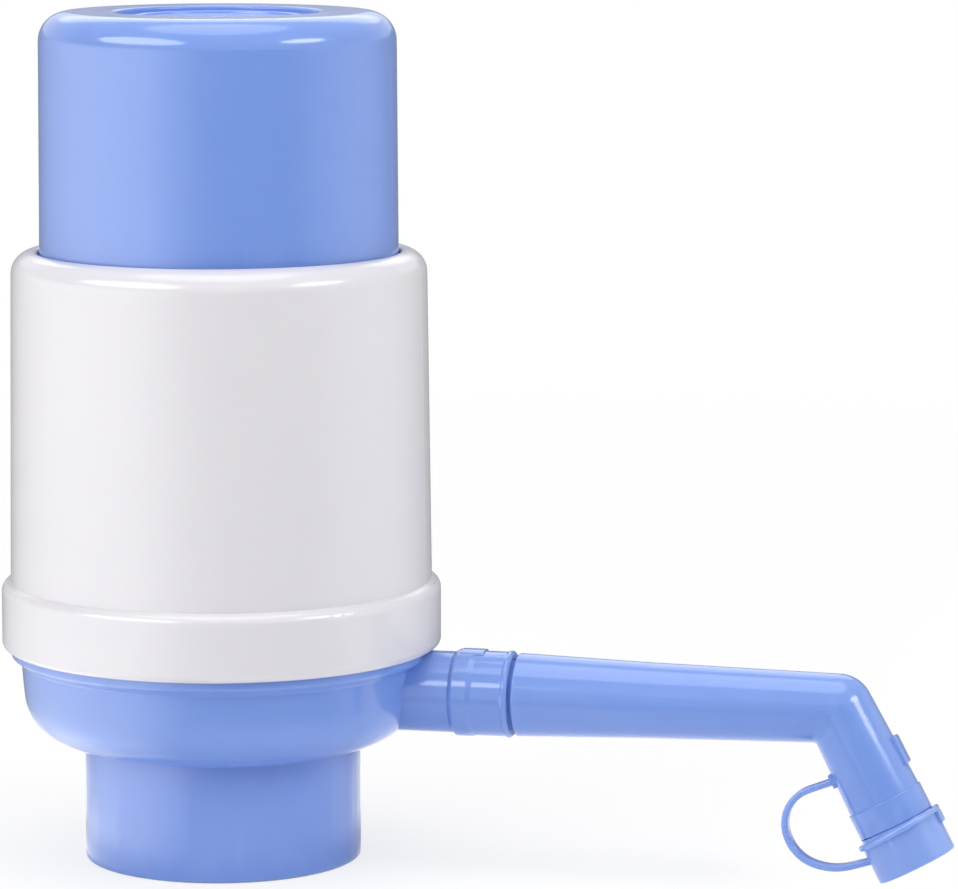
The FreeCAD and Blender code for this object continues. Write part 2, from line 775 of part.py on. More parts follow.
def make_spout_collar():
    """Ring over the stub's end, whose lip traps the spout's flange, with a low pad on its top."""
    step = collar_start + collar_step_start
    bead_end = collar_end - collar_bead_slope
    bead_start = bead_end - collar_bead_width
    bead_radius = collar_front_radius + collar_bead_height
    body = turned_on_spout([
        (collar_start, stub_neck_radius),
        (collar_start, collar_radius - collar_chamfer),
        (collar_start + collar_chamfer, collar_radius, fine_edge_radius),
        (step, collar_radius, fine_edge_radius),
        (step + collar_step_slope, collar_front_radius),
        (bead_start - collar_bead_slope, collar_front_radius),
        (bead_start, bead_radius, fine_edge_radius),
        (bead_end, bead_radius, fine_edge_radius),
        (collar_end, collar_front_radius - collar_bead_slope),
        (collar_end, collar_lip_bore_radius),
        (collar_lip_start, collar_lip_bore_radius),
        (collar_lip_start, stub_neck_radius),
    ])
    pad_start = collar_start + collar_pad_start
    pad_end = pad_start + collar_pad_length
    pad_top = collar_radius + collar_pad_height
    pad_root = stub_neck_radius + root_overlap
    pad = turned(
        [(pad_start, pad_root), (pad_start, pad_top), (pad_end, pad_top), (pad_end, pad_root)],
        X_AXIS, collar_pad_angle,
    )
    pad.rotate(ORIGIN, X_AXIS, -collar_pad_angle / 2)
    edges = []
    for edge in pad.Edges:
        reach = min(math.hypot(vertex.Point.y, vertex.Point.z) for vertex in edge.Vertexes)
        if reach > collar_radius:
            edges.append(edge)
    pad = pad.makeFillet(fine_edge_radius, edges)
    pad.translate(Vector(0, 0, spout_height))
    return fused(body, [pad])


def o_ring_places():
    """Centres of the two O-rings along the spout's axis."""
    return [spigot_reach + inner_o_ring_offset, stub_end - outer_o_ring_offset]


def make_spout_o_rings():
    """Two O-rings in the spigot's grooves."""
    centre_radius = spigot_radius + running_gap / 2 - o_ring_section
    rings = []
    for place in o_ring_places():
        rings.append(Part.makeTorus(centre_radius, o_ring_section, Vector(place, 0, spout_height), X_AXIS))
    return Part.makeCompound(rings)


def make_spout():
    """Spigot, trapped flange, tapering pipe, elbow and leg, with one water way through them."""
    flange_start = stub_end + rest_gap
    flange_end = collar_lip_start - rest_gap
    shoulder_start = collar_end + stop_gap
    pipe_start = collar_end + spout_groove
    neck = collar_lip_bore_radius - rest_gap
    along = turned_on_spout([
        (spigot_reach, 0),
        (spigot_reach, spigot_radius),
        (flange_start, spigot_radius),
        (flange_start, spout_flange_radius - push_gap),
        (flange_end, spout_flange_radius - push_gap),
        (flange_end, neck),
        (shoulder_start, neck),
        (pipe_start, pipe_root_radius, edge_radius),
        (pipe_bend_point, pipe_middle_radius),
        (elbow_reach, elbow_radius),
        (elbow_reach, 0),
    ])
    corner = Part.makeSphere(elbow_radius, Vector(elbow_reach, 0, spout_height))
    leg = turned([(0, 0), (elbow_radius, 0), (leg_end_radius, leg_collar_start), (0, leg_collar_start)])
    body = fused(along, [corner, on_leg(leg), elbow_bend()])
    tip_root_radius = leg_end_radius - root_overlap
    tip = on_leg(turned([
        (0, leg_collar_start - root_overlap),
        (tip_root_radius, leg_collar_start - root_overlap),
        (tip_root_radius, leg_collar_start),
        (leg_collar_radius, leg_collar_start, fine_edge_radius),
        (leg_collar_radius, tip_collar_end, fine_edge_radius),
        (tip_spigot_radius, tip_collar_end),
        (tip_spigot_radius, tip_end, edge_radius),
        (0, tip_end),
    ]))
    body = fused(body, [tip, leg_lug(), strap_pad()])
    return body.cut(spout_water_way() + o_ring_grooves())


def elbow_bend():
    """Short bend that fills the inner corner of the elbow with its fillet."""
    bend_radius = elbow_radius + elbow_inner_fillet
    reach = bend_radius * math.tan(math.radians(elbow_drop_angle / 2))
    start = Vector(elbow_reach - reach, 0, spout_height)
    section = Part.Face(Part.Wire(Part.makeCircle(elbow_radius - elbow_bend_inset, start, X_AXIS)))
    return section.revolve(start - Z_AXIS * bend_radius, Y_AXIS, elbow_drop_angle)


def leg_lug():
    """Raised pad on the outer side of the leg."""
    outer = leg_radius(lug_pad_start + lug_pad_length / 2) + lug_pad_height
    pad = Part.makeBox(
        elbow_radius, lug_pad_width, lug_pad_length, Vector(-outer, -lug_pad_width / 2, lug_pad_start)
    )
    edges = [edge for edge in pad.Edges if edge.BoundBox.XMax < lug_pad_height - outer]
    return on_leg(pad.makeFillet(lug_pad_edge_radius, edges))


def strap_pad():
    """Low pad on the pump side of the leg that the strap grows from."""
    outer = leg_radius(strap_root) + strap_pad_height
    middle = outer - elbow_radius / 2
    bottom = strap_root - strap_pad_length / 2
    return on_leg(block(elbow_radius, strap_pad_width, strap_pad_length, middle, bottom))


def spout_water_way():
    """Everything that the water way takes out of the spout, as separate tools."""
    widen_start = collar_lip_start
    widen_end = collar_end + spout_groove + 2 * spout_wall
    along = turned_on_spout([
        (spigot_reach - cutter_overshoot, 0),
        (spigot_reach - cutter_overshoot, spigot_bore_radius),
        (widen_start, spigot_bore_radius),
        (widen_end, pipe_root_radius - spout_wall),
        (pipe_bend_point, pipe_middle_radius - spout_wall),
        (elbow_reach, elbow_bore_radius),
        (elbow_reach, 0),
    ])
    corner = Part.makeSphere(elbow_bore_radius, Vector(elbow_reach, 0, spout_height))
    tip_bore_radius = tip_spigot_radius - spout_wall
    down = on_leg(turned([
        (0, 0),
        (elbow_bore_radius, 0),
        (tip_bore_radius, tip_end),
        (tip_bore_radius, tip_end + cutter_overshoot),
        (0, tip_end + cutter_overshoot),
    ]))
    return [along, corner, down]


def o_ring_grooves():
    """Ring-shaped cuts in the spigot for the O-rings."""
    half = o_ring_section + push_gap
    grooves = []
    for place in o_ring_places():
        grooves.append(turned_on_spout([
            (place - half, spigot_groove_radius),
            (place - half, spigot_radius + cutter_overshoot),
            (place + half, spigot_radius + cutter_overshoot),
            (place + half, spigot_groove_radius),
        ]))
    return grooves


def make_dust_cap():
    """Push-on cap with a flange at its mouth and a pull tab on the outer side."""
    flange_radius = dust_cap_radius + dust_cap_flange_width
    cup = turned([
        (dust_cap_bore_radius, dust_cap_start),
        (flange_radius, dust_cap_start, edge_radius),
        (flange_radius, dust_flange_end, edge_radius),
        (dust_cap_radius, dust_flange_end),
        (dust_cap_radius, dust_cap_length_end, dust_cap_end_radius),
        (0, dust_cap_length_end),
        (0, dust_cap_inner_end),
        (dust_cap_bore_radius, dust_cap_inner_end),
    ])
    tab_depth = dust_tab_thickness + root_overlap
    tab_middle = dust_cap_radius + dust_tab_thickness - tab_depth / 2
    tab = block(tab_depth, dust_tab_width, dust_tab_length, -tab_middle, dust_cap_start)
    edges = [edge for edge in tab.Edges if edge.BoundBox.YLength > dust_tab_width / 2]
    tab = tab.makeFillet(edge_radius, edges)
    return on_leg(fused(cup, [tab]))


def make_cap_strap():
    """Ribbon that loops from the leg's pad to the dust cap, under its flange."""
    root = leg_radius(strap_root) + strap_pad_height + strap_gap
    end = dust_cap_radius + strap_gap
    lower_place = dust_cap_start + strap_drop
    path = outline([
        (root, strap_root),
        (root + strap_upper_bulge, strap_root - strap_upper_rise, strap_upper_bend),
        (end + strap_lower_bulge, lower_place - strap_lower_rise, strap_lower_bend),
        (end, lower_place),
    ], closed=False)
    start = path.Vertexes[0].Point
    heading = unit(path.Edges[0].tangentAt(path.Edges[0].FirstParameter))
    across = Vector(-heading.z, 0, heading.x)
    half_thickness = across * (strap_thickness / 2)
    half_width = Vector(0, strap_width / 2, 0)
    section = Part.makePolygon([
        start - half_thickness - half_width,
        start + half_thickness - half_width,
        start + half_thickness + half_width,
        start - half_thickness + half_width,
        start - half_thickness - half_width,
    ])
    return on_leg(path.makePipeShell([section], True, False))


# ---------------------------------------------------------------------------------------------
# Export
# ---------------------------------------------------------------------------------------------

makers = {
    "press_cap": make_press_cap,
    "intake_plate": make_intake_plate,
    "intake_valve": make_intake_valve,
    "upper_clamp_ring": make_upper_clamp_ring,
    "bellows": make_bellows,
    "return_spring": make_return_spring,
    "lower_clamp_ring": make_lower_clamp_ring,
    "valve_deck": make_valve_deck,
    "delivery_valve": make_delivery_valve,
    "deck_gasket": make_deck_gasket,
    "outer_sleeve": make_outer_sleeve,
    "base_bowl": make_base_bowl,
    "riser_elbow": make_riser_elbow,
    "grip_sleeve": make_grip_sleeve,
    "neck_gasket": make_neck_gasket,
    "spout_collar": make_spout_collar,
    "spout": make_spout,
    "spout_o_rings": make_spout_o_rings,
    "dust_cap": make_dust_cap,
    "cap_strap": make_cap_strap,
}

os.makedirs("parts", exist_ok=True)
for node, make in makers.items():
    shape = make()
    solids = shape.Solids
    volume = sum(solid.Volume for solid in solids)
    print(f"{node}: {len(solids)} solid(s), {volume:.1f} mm3, valid {shape.isValid()}")
    shape.exportStep(f"parts/{node}.step")
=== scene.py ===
import math

import bmesh
import bpy
from mathutils import Matrix, Vector


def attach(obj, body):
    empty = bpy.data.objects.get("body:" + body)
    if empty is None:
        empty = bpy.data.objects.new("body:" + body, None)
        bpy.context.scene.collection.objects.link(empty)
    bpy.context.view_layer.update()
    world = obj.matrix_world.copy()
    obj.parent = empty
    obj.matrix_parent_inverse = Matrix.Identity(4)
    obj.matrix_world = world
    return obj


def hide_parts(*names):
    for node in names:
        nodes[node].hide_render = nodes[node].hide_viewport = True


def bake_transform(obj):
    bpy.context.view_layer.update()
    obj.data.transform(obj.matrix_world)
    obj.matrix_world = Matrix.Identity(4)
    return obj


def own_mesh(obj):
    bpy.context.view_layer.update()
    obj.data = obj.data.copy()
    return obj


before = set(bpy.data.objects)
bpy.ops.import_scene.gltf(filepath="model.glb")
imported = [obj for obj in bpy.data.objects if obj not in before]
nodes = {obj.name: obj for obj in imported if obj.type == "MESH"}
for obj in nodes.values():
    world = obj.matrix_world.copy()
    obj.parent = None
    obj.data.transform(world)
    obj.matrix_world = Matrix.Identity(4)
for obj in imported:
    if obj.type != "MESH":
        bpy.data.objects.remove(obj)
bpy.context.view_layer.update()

MM = 0.001
WHITE = (1, 1, 1, 1)

# ---------------------------------------------------------------------------------------------
# Camera
# ---------------------------------------------------------------------------------------------

CAMERA_YAW = math.radians(12.5)
CAMERA_PITCH = math.radians(8.24)
CAMERA_PLACE = (0.2876, -1.0265, 0.2487)
LENS_MM = 178.08
SENSOR_MM = 36.0


def make_camera():
    """Long lens, a little above the press cap and a little to the spout's side."""
    data = bpy.data.cameras.new("camera")
    data.sensor_width = SENSOR_MM
    data.sensor_fit = "HORIZONTAL"
    data.lens = LENS_MM
    data.clip_end = 20
    camera = bpy.data.objects.new("camera", data)
    camera.location = CAMERA_PLACE
    camera.rotation_euler = (math.pi / 2 - CAMERA_PITCH, 0, CAMERA_YAW)
    bpy.context.scene.collection.objects.link(camera)
    bpy.context.scene.camera = camera


make_camera()
bpy.context.scene.view_settings.view_transform = "Standard"

# ---------------------------------------------------------------------------------------------
# Node helpers
# ---------------------------------------------------------------------------------------------


def add_node(tree, kind, inputs=(), **settings):
    """New node with its settings and the values of its unlinked inputs."""
    node = tree.nodes.new(kind)
    for name, value in settings.items():
        setattr(node, name, value)
    for socket, value in dict(inputs).items():
        node.inputs[socket].default_value = value
    return node


def join(tree, output, target):
    """Link an output socket to an input socket."""
    tree.links.new(output, target)


def calculate(tree, operation, first, second=0.0, third=0.0):
    """Math node of one, two or three sockets or numbers. Gives its output."""
    node = add_node(tree, "ShaderNodeMath", operation=operation)
    for index, value in enumerate((first, second, third)):
        if isinstance(value, bpy.types.NodeSocket):
            join(tree, value, node.inputs[index])
        else:
            node.inputs[index].default_value = value
    return node.outputs[0]


def remap(tree, value, low, high, to_low=0.0, to_high=1.0, smooth=False):
    """Map Range node from low..high to to_low..to_high. Gives its output."""
    node = add_node(
        tree, "ShaderNodeMapRange",
        {"From Min": low, "From Max": high, "To Min": to_low, "To Max": to_high},
        interpolation_type="SMOOTHSTEP" if smooth else "LINEAR",
    )
    join(tree, value, node.inputs["Value"])
    return node.outputs["Result"]


def noise(tree, place, scale, detail=2.0, roughness=0.5):
    """Noise texture on a place socket. Gives its value, about 0.5 in the middle."""
    node = add_node(
        tree, "ShaderNodeTexNoise", {"Scale": scale, "Detail": detail, "Roughness": roughness})
    join(tree, place, node.inputs["Vector"])
    return node.outputs["Fac"]


def new_group(name, inputs, outputs):
    """Empty node group with number inputs and outputs. Gives the group and its two end nodes."""
    group = bpy.data.node_groups.new(name, "ShaderNodeTree")
    for label, value in inputs.items():
        socket = group.interface.new_socket(label, in_out="INPUT", socket_type="NodeSocketFloat")
        socket.default_value = value
    for label in outputs:
        group.interface.new_socket(label, in_out="OUTPUT", socket_type="NodeSocketFloat")
    return group, add_node(group, "NodeGroupInput"), add_node(group, "NodeGroupOutput")


def use_group(tree, group, **inputs):
    """Place a node group with its own values; underscores in names stand for spaces."""
    node = add_node(tree, "ShaderNodeGroup", node_tree=group)
    for name, value in inputs.items():
        node.inputs[name.replace("_", " ")].default_value = value
    return node


# ---------------------------------------------------------------------------------------------
# Shared effects
# ---------------------------------------------------------------------------------------------


def make_moulded_skin():
    """Skin of a moulding: slow flow clouds, the shallow waves of a cooled wall, and a fine grain."""
    group, start, end = new_group(
        "moulded_skin",
        {"Cloud Scale": 16.0, "Wave Scale": 55.0, "Grain Scale": 1500.0},
        ("Clouds", "Waves", "Grain"),
    )
    place = add_node(group, "ShaderNodeTexCoord").outputs["Object"]
    for label, detail in (("Cloud", 3.0), ("Wave", 1.0), ("Grain", 2.0)):
        texture = add_node(group, "ShaderNodeTexNoise", {"Detail": detail})
        join(group, place, texture.inputs["Vector"])
        join(group, start.outputs[f"{label} Scale"], texture.inputs["Scale"])
        target = "Grain" if label == "Grain" else f"{label}s"
        join(group, texture.outputs["Fac"], end.inputs[target])
    return group


def make_edge_wear_and_sheen():
    """Convex edges, broken up by noise, where the skin is rubbed paler and duller; the paler tone is
    also a painted highlight along the rims.
    """
    group, start, end = new_group("edge_wear_and_sheen", {"Reach": 0.06, "Patch Scale": 130.0}, ("Wear And Sheen",))
    place = add_node(group, "ShaderNodeTexCoord").outputs["Object"]
    edge = add_node(group, "ShaderNodeNewGeometry").outputs["Pointiness"]
    above = calculate(group, "SUBTRACT", edge, 0.5)
    share = calculate(group, "DIVIDE", above, start.outputs["Reach"])
    texture = add_node(group, "ShaderNodeTexNoise", {"Detail": 4.0})
    join(group, place, texture.inputs["Vector"])
    join(group, start.outputs["Patch Scale"], texture.inputs["Scale"])
    broken = remap(group, texture.outputs["Fac"], 0.35, 0.65)
    worn_and_sheened = calculate(group, "MULTIPLY", share, broken)
    limited = add_node(group, "ShaderNodeClamp")
    join(group, worn_and_sheened, limited.inputs["Value"])
    join(group, limited.outputs[0], end.inputs["Wear And Sheen"])
    return group


def make_settled_dust():
    """Thin dust on faces that look up, in soft patches."""
    group, start, end = new_group("settled_dust", {"Patch Scale": 90.0, "Cover": 0.5}, ("Dust",))
    place = add_node(group, "ShaderNodeTexCoord").outputs["Object"]
    normal = add_node(group, "ShaderNodeNewGeometry").outputs["Normal"]
    split = add_node(group, "ShaderNodeSeparateXYZ")
    join(group, normal, split.inputs[0])
    up = remap(group, split.outputs["Z"], 0.6, 0.98, smooth=True)
    texture = add_node(group, "ShaderNodeTexNoise", {"Detail": 5.0, "Roughness": 0.65})
    join(group, place, texture.inputs["Vector"])
    join(group, start.outputs["Patch Scale"], texture.inputs["Scale"])
    patches = remap(group, texture.outputs["Fac"], 0.4, 0.75)
    covered = calculate(group, "MULTIPLY", patches, start.outputs["Cover"])
    join(group, calculate(group, "MULTIPLY", up, covered), end.inputs["Dust"])
    return group


def make_hairline_scratches():
    """Sparse fine scratches from handling, as thin stretched cells in two directions."""
    group, start, end = new_group("hairline_scratches", {"Scale": 90.0, "Width": 0.02}, ("Scratch",))
    place = add_node(group, "ShaderNodeTexCoord").outputs["Object"]
    lines = None
    for angles, stretch in (((0.3, 0.2, 0.7), (1, 0.06, 1)), ((1.1, 0.5, 2.2), (0.08, 1, 1))):
        turned_place = add_node(group, "ShaderNodeMapping", {"Rotation": angles, "Scale": stretch})
        join(group, place, turned_place.inputs["Vector"])
        cells = add_node(group, "ShaderNodeTexVoronoi", feature="DISTANCE_TO_EDGE")
        join(group, turned_place.outputs[0], cells.inputs["Vector"])
        join(group, start.outputs["Scale"], cells.inputs["Scale"])
        near = calculate(group, "LESS_THAN", cells.outputs["Distance"], start.outputs["Width"])
        lines = near if lines is None else calculate(group, "MAXIMUM", lines, near)
    patches = remap(group, noise(group, place, 45.0, 3.0), 0.55, 0.7)
    join(group, calculate(group, "MULTIPLY", lines, patches), end.inputs["Scratch"])
    return group


def make_mould_seam():
    """Fine raised line where the two mould halves met, in a plane through the spout's centre line."""
    group, start, end = new_group(
        "mould_seam", {"Turn": 0.0, "Axis Height": 0.0, "Half Width": 0.0002}, ("Seam",)
    )
    place = add_node(group, "ShaderNodeTexCoord").outputs["Object"]
    split = add_node(group, "ShaderNodeSeparateXYZ")
    join(group, place, split.inputs[0])
    height = calculate(group, "SUBTRACT", split.outputs["Z"], start.outputs["Axis Height"])
    cosine = calculate(group, "COSINE", start.outputs["Turn"])
    sine = calculate(group, "SINE", start.outputs["Turn"])
    side = calculate(group, "MULTIPLY", split.outputs["Y"], cosine)
    rise = calculate(group, "MULTIPLY", height, sine)
    away = calculate(group, "ABSOLUTE", calculate(group, "SUBTRACT", side, rise))
    share = calculate(group, "DIVIDE", away, start.outputs["Half Width"])
    join(group, remap(group, share, 1.0, 0.0, smooth=True), end.inputs["Seam"])
    return group


SINK_FADE = 0.006


def make_rib_sinks():
    """Shallow upright hollows over the ribs behind a round wall."""
    group, start, end = new_group("rib_sinks", {"Ribs": 22.0, "Bottom": 0.0, "Top": 1.0}, ("Sink",))
    place = add_node(group, "ShaderNodeTexCoord").outputs["Object"]
    split = add_node(group, "ShaderNodeSeparateXYZ")
    join(group, place, split.inputs[0])
    angle = calculate(group, "ARCTAN2", split.outputs["Y"], split.outputs["X"])
    wave = calculate(group, "COSINE", calculate(group, "MULTIPLY", angle, start.outputs["Ribs"]))
    hollow = remap(group, wave, -1.0, 0.2, smooth=True)
    above = calculate(group, "SUBTRACT", split.outputs["Z"], start.outputs["Bottom"])
    below = calculate(group, "SUBTRACT", start.outputs["Top"], split.outputs["Z"])
    within = remap(group, calculate(group, "MINIMUM", above, below), 0.0, SINK_FADE, smooth=True)
    join(group, calculate(group, "MULTIPLY", hollow, within), end.inputs["Sink"])
    return group


moulded_skin = make_moulded_skin()
edge_wear_and_sheen = make_edge_wear_and_sheen()
settled_dust = make_settled_dust()
hairline_scratches = make_hairline_scratches()
mould_seam = make_mould_seam()
rib_sinks = make_rib_sinks()

# ---------------------------------------------------------------------------------------------
# Materials
# ---------------------------------------------------------------------------------------------

SPOUT_TURN = math.radians(5.0)
SPOUT_HEIGHT = 39.75 * MM
SEAM_HALF_WIDTH = 0.00022
SEAM_RISE = 0.00004
SCRATCH_DEPTH = 0.0000004
NECK_RIBS = 22.0
NECK_RIB_TOP = 0.0255
SINK_DEPTH = 0.00006
PALE_DUST = (0.72, 0.72, 0.74)
RUBBER_DUST = (0.75, 0.74, 0.72)
STEEL_DULL = (0.50, 0.49, 0.47)
STEEL_BRIGHT = (0.62, 0.61, 0.60)
WIRE_MARK_DEPTH = 0.000006
PLASTIC_IOR = 1.49
RUBBER_IOR = 1.5
STEEL_IOR = 2.5
SUBSURFACE_RADIUS = (0.5, 0.7, 1.0)
SUBSURFACE_SCALE = 0.003
CLOUD_LOW = 0.3
CLOUD_HIGH = 0.7
PLASTIC_GLOSS_SPREAD = 0.015
RUBBER_GLOSS_SPREAD = 0.05
WORN_DULLING = 0.15
DUST_DULLING = 0.3


def new_material(name):
    """Material with its Principled shader."""
    material = bpy.data.materials.new(name)
    material.use_nodes = True
    tree = material.node_tree
    return material, tree, tree.nodes["Principled BSDF"]


def finish_shader(tree, shader, tint, gloss, height):
    """Link colour, roughness and bump height to the shader."""
    bump = add_node(tree, "ShaderNodeBump", {"Strength": 1.0, "Distance": 1.0})
    join(tree, height, bump.inputs["Height"])
    join(tree, bump.outputs["Normal"], shader.inputs["Normal"])
    join(tree, tint, shader.inputs["Base Color"])
    join(tree, gloss, shader.inputs["Roughness"])


def mix_colours(tree, share, first, second):
    """Colour between two, by a share socket. Gives its output."""
    node = add_node(tree, "ShaderNodeMix", data_type="RGBA")
    join(tree, share, node.inputs["Factor"])
    for index, colour in ((6, first), (7, second)):
        if isinstance(colour, bpy.types.NodeSocket):
            join(tree, colour, node.inputs[index])
        else:
            node.inputs[index].default_value = (*colour, 1)
    return node.outputs[2]


def moulded_plastic(
    name, colour, cloud_colour, wear_and_sheen_colour, roughness,
    cloud_scale=16.0, wave_depth=0.00006, grain_depth=0.0000015, wear_and_sheen=0.5, dust=0.0, scratches=0.0,
    subsurface=0.0, seam=False, sinks=False,
):
    """Injection moulded plastic: clouded colour, uneven gloss, waves, grain, worn edges with a painted
    highlight, and dust.
    """
    material, tree, shader = new_material(name)
    shader.inputs["IOR"].default_value = PLASTIC_IOR
    shader.inputs["Subsurface Weight"].default_value = subsurface
    shader.inputs["Subsurface Radius"].default_value = SUBSURFACE_RADIUS
    shader.inputs["Subsurface Scale"].default_value = SUBSURFACE_SCALE
    skin = use_group(tree, moulded_skin, Cloud_Scale=cloud_scale)
    clouds = remap(tree, skin.outputs["Clouds"], CLOUD_LOW, CLOUD_HIGH)
    tint = mix_colours(tree, clouds, colour, cloud_colour)
    worn_and_sheened = use_group(tree, edge_wear_and_sheen)
    rubbed_and_sheened = calculate(tree, "MULTIPLY", worn_and_sheened.outputs["Wear And Sheen"], wear_and_sheen)
    # Paler convex edges: rubbed wear and a painted highlight along the rims.
    tint = mix_colours(tree, rubbed_and_sheened, tint, wear_and_sheen_colour)
    gloss = remap(
        tree, skin.outputs["Clouds"], CLOUD_LOW, CLOUD_HIGH,
        roughness - PLASTIC_GLOSS_SPREAD, roughness + PLASTIC_GLOSS_SPREAD)
    gloss = calculate(tree, "MULTIPLY_ADD", rubbed_and_sheened, WORN_DULLING, gloss)
    if dust:
        film = use_group(tree, settled_dust, Cover=dust)
        tint = mix_colours(tree, film.outputs["Dust"], tint, PALE_DUST)
        gloss = calculate(tree, "MULTIPLY_ADD", film.outputs["Dust"], DUST_DULLING, gloss)
    height = calculate(tree, "MULTIPLY", skin.outputs["Waves"], wave_depth)
    height = calculate(tree, "MULTIPLY_ADD", skin.outputs["Grain"], grain_depth, height)
    if scratches:
        lines = use_group(tree, hairline_scratches)
        gloss = calculate(tree, "MULTIPLY_ADD", lines.outputs["Scratch"], scratches, gloss)
        height = calculate(tree, "MULTIPLY_ADD", lines.outputs["Scratch"], -SCRATCH_DEPTH, height)
    if seam:
        line = use_group(
            tree, mould_seam, Turn=SPOUT_TURN, Axis_Height=SPOUT_HEIGHT, Half_Width=SEAM_HALF_WIDTH)
        height = calculate(tree, "MULTIPLY_ADD", line.outputs["Seam"], SEAM_RISE, height)
    if sinks:
        hollows = use_group(tree, rib_sinks, Ribs=NECK_RIBS, Bottom=0.0, Top=NECK_RIB_TOP)
        height = calculate(tree, "MULTIPLY_ADD", hollows.outputs["Sink"], -SINK_DEPTH, height)
    finish_shader(tree, shader, tint, gloss, height)
    return material


def soft_rubber(name, colour, cloud_colour, roughness, sheen, bump_depth, bump_scale):
    """Moulded rubber: matt, with a fine pebbled skin and a faint bloom."""
    material, tree, shader = new_material(name)
    shader.inputs["IOR"].default_value = RUBBER_IOR
    shader.inputs["Sheen Weight"].default_value = sheen
    shader.inputs["Sheen Roughness"].default_value = 0.5
    skin = use_group(tree, moulded_skin, Cloud_Scale=40.0, Grain_Scale=bump_scale)
    clouds = remap(tree, skin.outputs["Clouds"], CLOUD_LOW, CLOUD_HIGH)
    tint = mix_colours(tree, clouds, colour, cloud_colour)
    film = use_group(tree, settled_dust, Cover=0.35)
    tint = mix_colours(tree, film.outputs["Dust"], tint, RUBBER_DUST)
    gloss = remap(
        tree, skin.outputs["Clouds"], CLOUD_LOW, CLOUD_HIGH,
        roughness - RUBBER_GLOSS_SPREAD, roughness + RUBBER_GLOSS_SPREAD)
    height = calculate(tree, "MULTIPLY", skin.outputs["Grain"], bump_depth)
    finish_shader(tree, shader, tint, gloss, height)
    return material


def drawn_wire(name):
    """Stainless spring wire with drawing marks along it."""
    material, tree, shader = new_material(name)
    shader.inputs["IOR"].default_value = STEEL_IOR
    place = add_node(tree, "ShaderNodeTexCoord").outputs["Object"]
    marks = noise(tree, place, 900.0, 3.0)
    patches = noise(tree, place, 60.0, 3.0)
    tint = mix_colours(tree, patches, STEEL_DULL, STEEL_BRIGHT)
    gloss = remap(tree, marks, 0.3, 0.7, 0.22, 0.36)
    metal = remap(tree, patches, 0.0, 0.05, 0.98, 1.0)
    height = calculate(tree, "MULTIPLY", marks, WIRE_MARK_DEPTH)
    finish_shader(tree, shader, tint, gloss, height)
    join(tree, metal, shader.inputs["Metallic"])
    return material


# The paler edge colours below serve rubbed wear and a painted highlight on convex edges.
BLUE = (0.182, 0.306, 0.725)
BLUE_CLOUD = (0.190, 0.316, 0.740)
BLUE_WEAR_AND_SHEEN = (0.27, 0.40, 0.82)
TETHER_BLUE = (0.225, 0.35, 0.77)
TETHER_CLOUD = (0.24, 0.37, 0.79)
SHELL_WHITE = (0.715, 0.700, 0.738)
SHELL_CLOUD = (0.728, 0.713, 0.750)
SHELL_WEAR_AND_SHEEN = (0.78, 0.77, 0.79)
NATURAL = (0.66, 0.67, 0.67)
NATURAL_CLOUD = (0.70, 0.71, 0.70)
NATURAL_WEAR_AND_SHEEN = (0.75, 0.75, 0.75)
SEAL_GREY = (0.55, 0.55, 0.53)
SEAL_CLOUD = (0.60, 0.60, 0.57)
BELLOWS_BUFF = (0.60, 0.57, 0.50)
BELLOWS_CLOUD = (0.66, 0.63, 0.56)
GLOSS = 0.13

cap_blue = moulded_plastic(
    "press_cap_blue_plastic", BLUE, BLUE_CLOUD, BLUE_WEAR_AND_SHEEN, GLOSS,
    dust=0.05, scratches=0.02, subsurface=0.08)
bowl_blue = moulded_plastic(
    "bowl_blue_plastic", BLUE, BLUE_CLOUD, BLUE_WEAR_AND_SHEEN, GLOSS,
    sinks=True, subsurface=0.08)
spout_blue = moulded_plastic(
    "spout_blue_plastic", BLUE, BLUE_CLOUD, BLUE_WEAR_AND_SHEEN, GLOSS - 0.02,
    cloud_scale=24.0, seam=True, subsurface=0.08)
tether_blue = moulded_plastic(
    "tether_blue_plastic", TETHER_BLUE, TETHER_CLOUD, BLUE_WEAR_AND_SHEEN, 0.22,
    cloud_scale=60.0, grain_depth=0.000003, subsurface=0.12)
shell_white = moulded_plastic(
    "sleeve_white_plastic", SHELL_WHITE, SHELL_CLOUD, SHELL_WEAR_AND_SHEEN, 0.15,
    dust=0.05, scratches=0.02, subsurface=0.05)
inner_natural = moulded_plastic(
    "inner_natural_plastic", NATURAL, NATURAL_CLOUD, NATURAL_WEAR_AND_SHEEN, 0.38,
    cloud_scale=35.0, grain_depth=0.000005, wear_and_sheen=0.2, subsurface=0.1)
seal_rubber = soft_rubber(
    "seal_rubber", SEAL_GREY, SEAL_CLOUD,
    roughness=0.6, sheen=0.15, bump_depth=0.00001, bump_scale=1800.0)
bellows_rubber = soft_rubber(
    "bellows_rubber", BELLOWS_BUFF, BELLOWS_CLOUD,
    roughness=0.5, sheen=0.1, bump_depth=0.000014, bump_scale=1300.0)
spring_steel = drawn_wire("spring_steel_wire")

NODE_FINISHES = {
    cap_blue: ("press_cap",),
    bowl_blue: ("base_bowl",),
    spout_blue: ("spout",),
    shell_white: ("outer_sleeve",),
    inner_natural: (
        "intake_plate", "valve_deck", "riser_elbow", "upper_clamp_ring", "lower_clamp_ring"),
    seal_rubber: (
        "intake_valve", "delivery_valve", "deck_gasket", "neck_gasket", "grip_sleeve", "spout_o_rings"),
}
for finish, names in NODE_FINISHES.items():
    for name in names:
        nodes[name].data.materials.clear()
        nodes[name].data.materials.append(finish)

# ---------------------------------------------------------------------------------------------
# Mesh helpers
# ---------------------------------------------------------------------------------------------

ROUND_STEPS = 160
FLAT_ANGLE = math.radians(32)
X_AXIS = Vector((1, 0, 0))
Y_AXIS = Vector((0, 1, 0))
Z_AXIS = Vector((0, 0, 1))


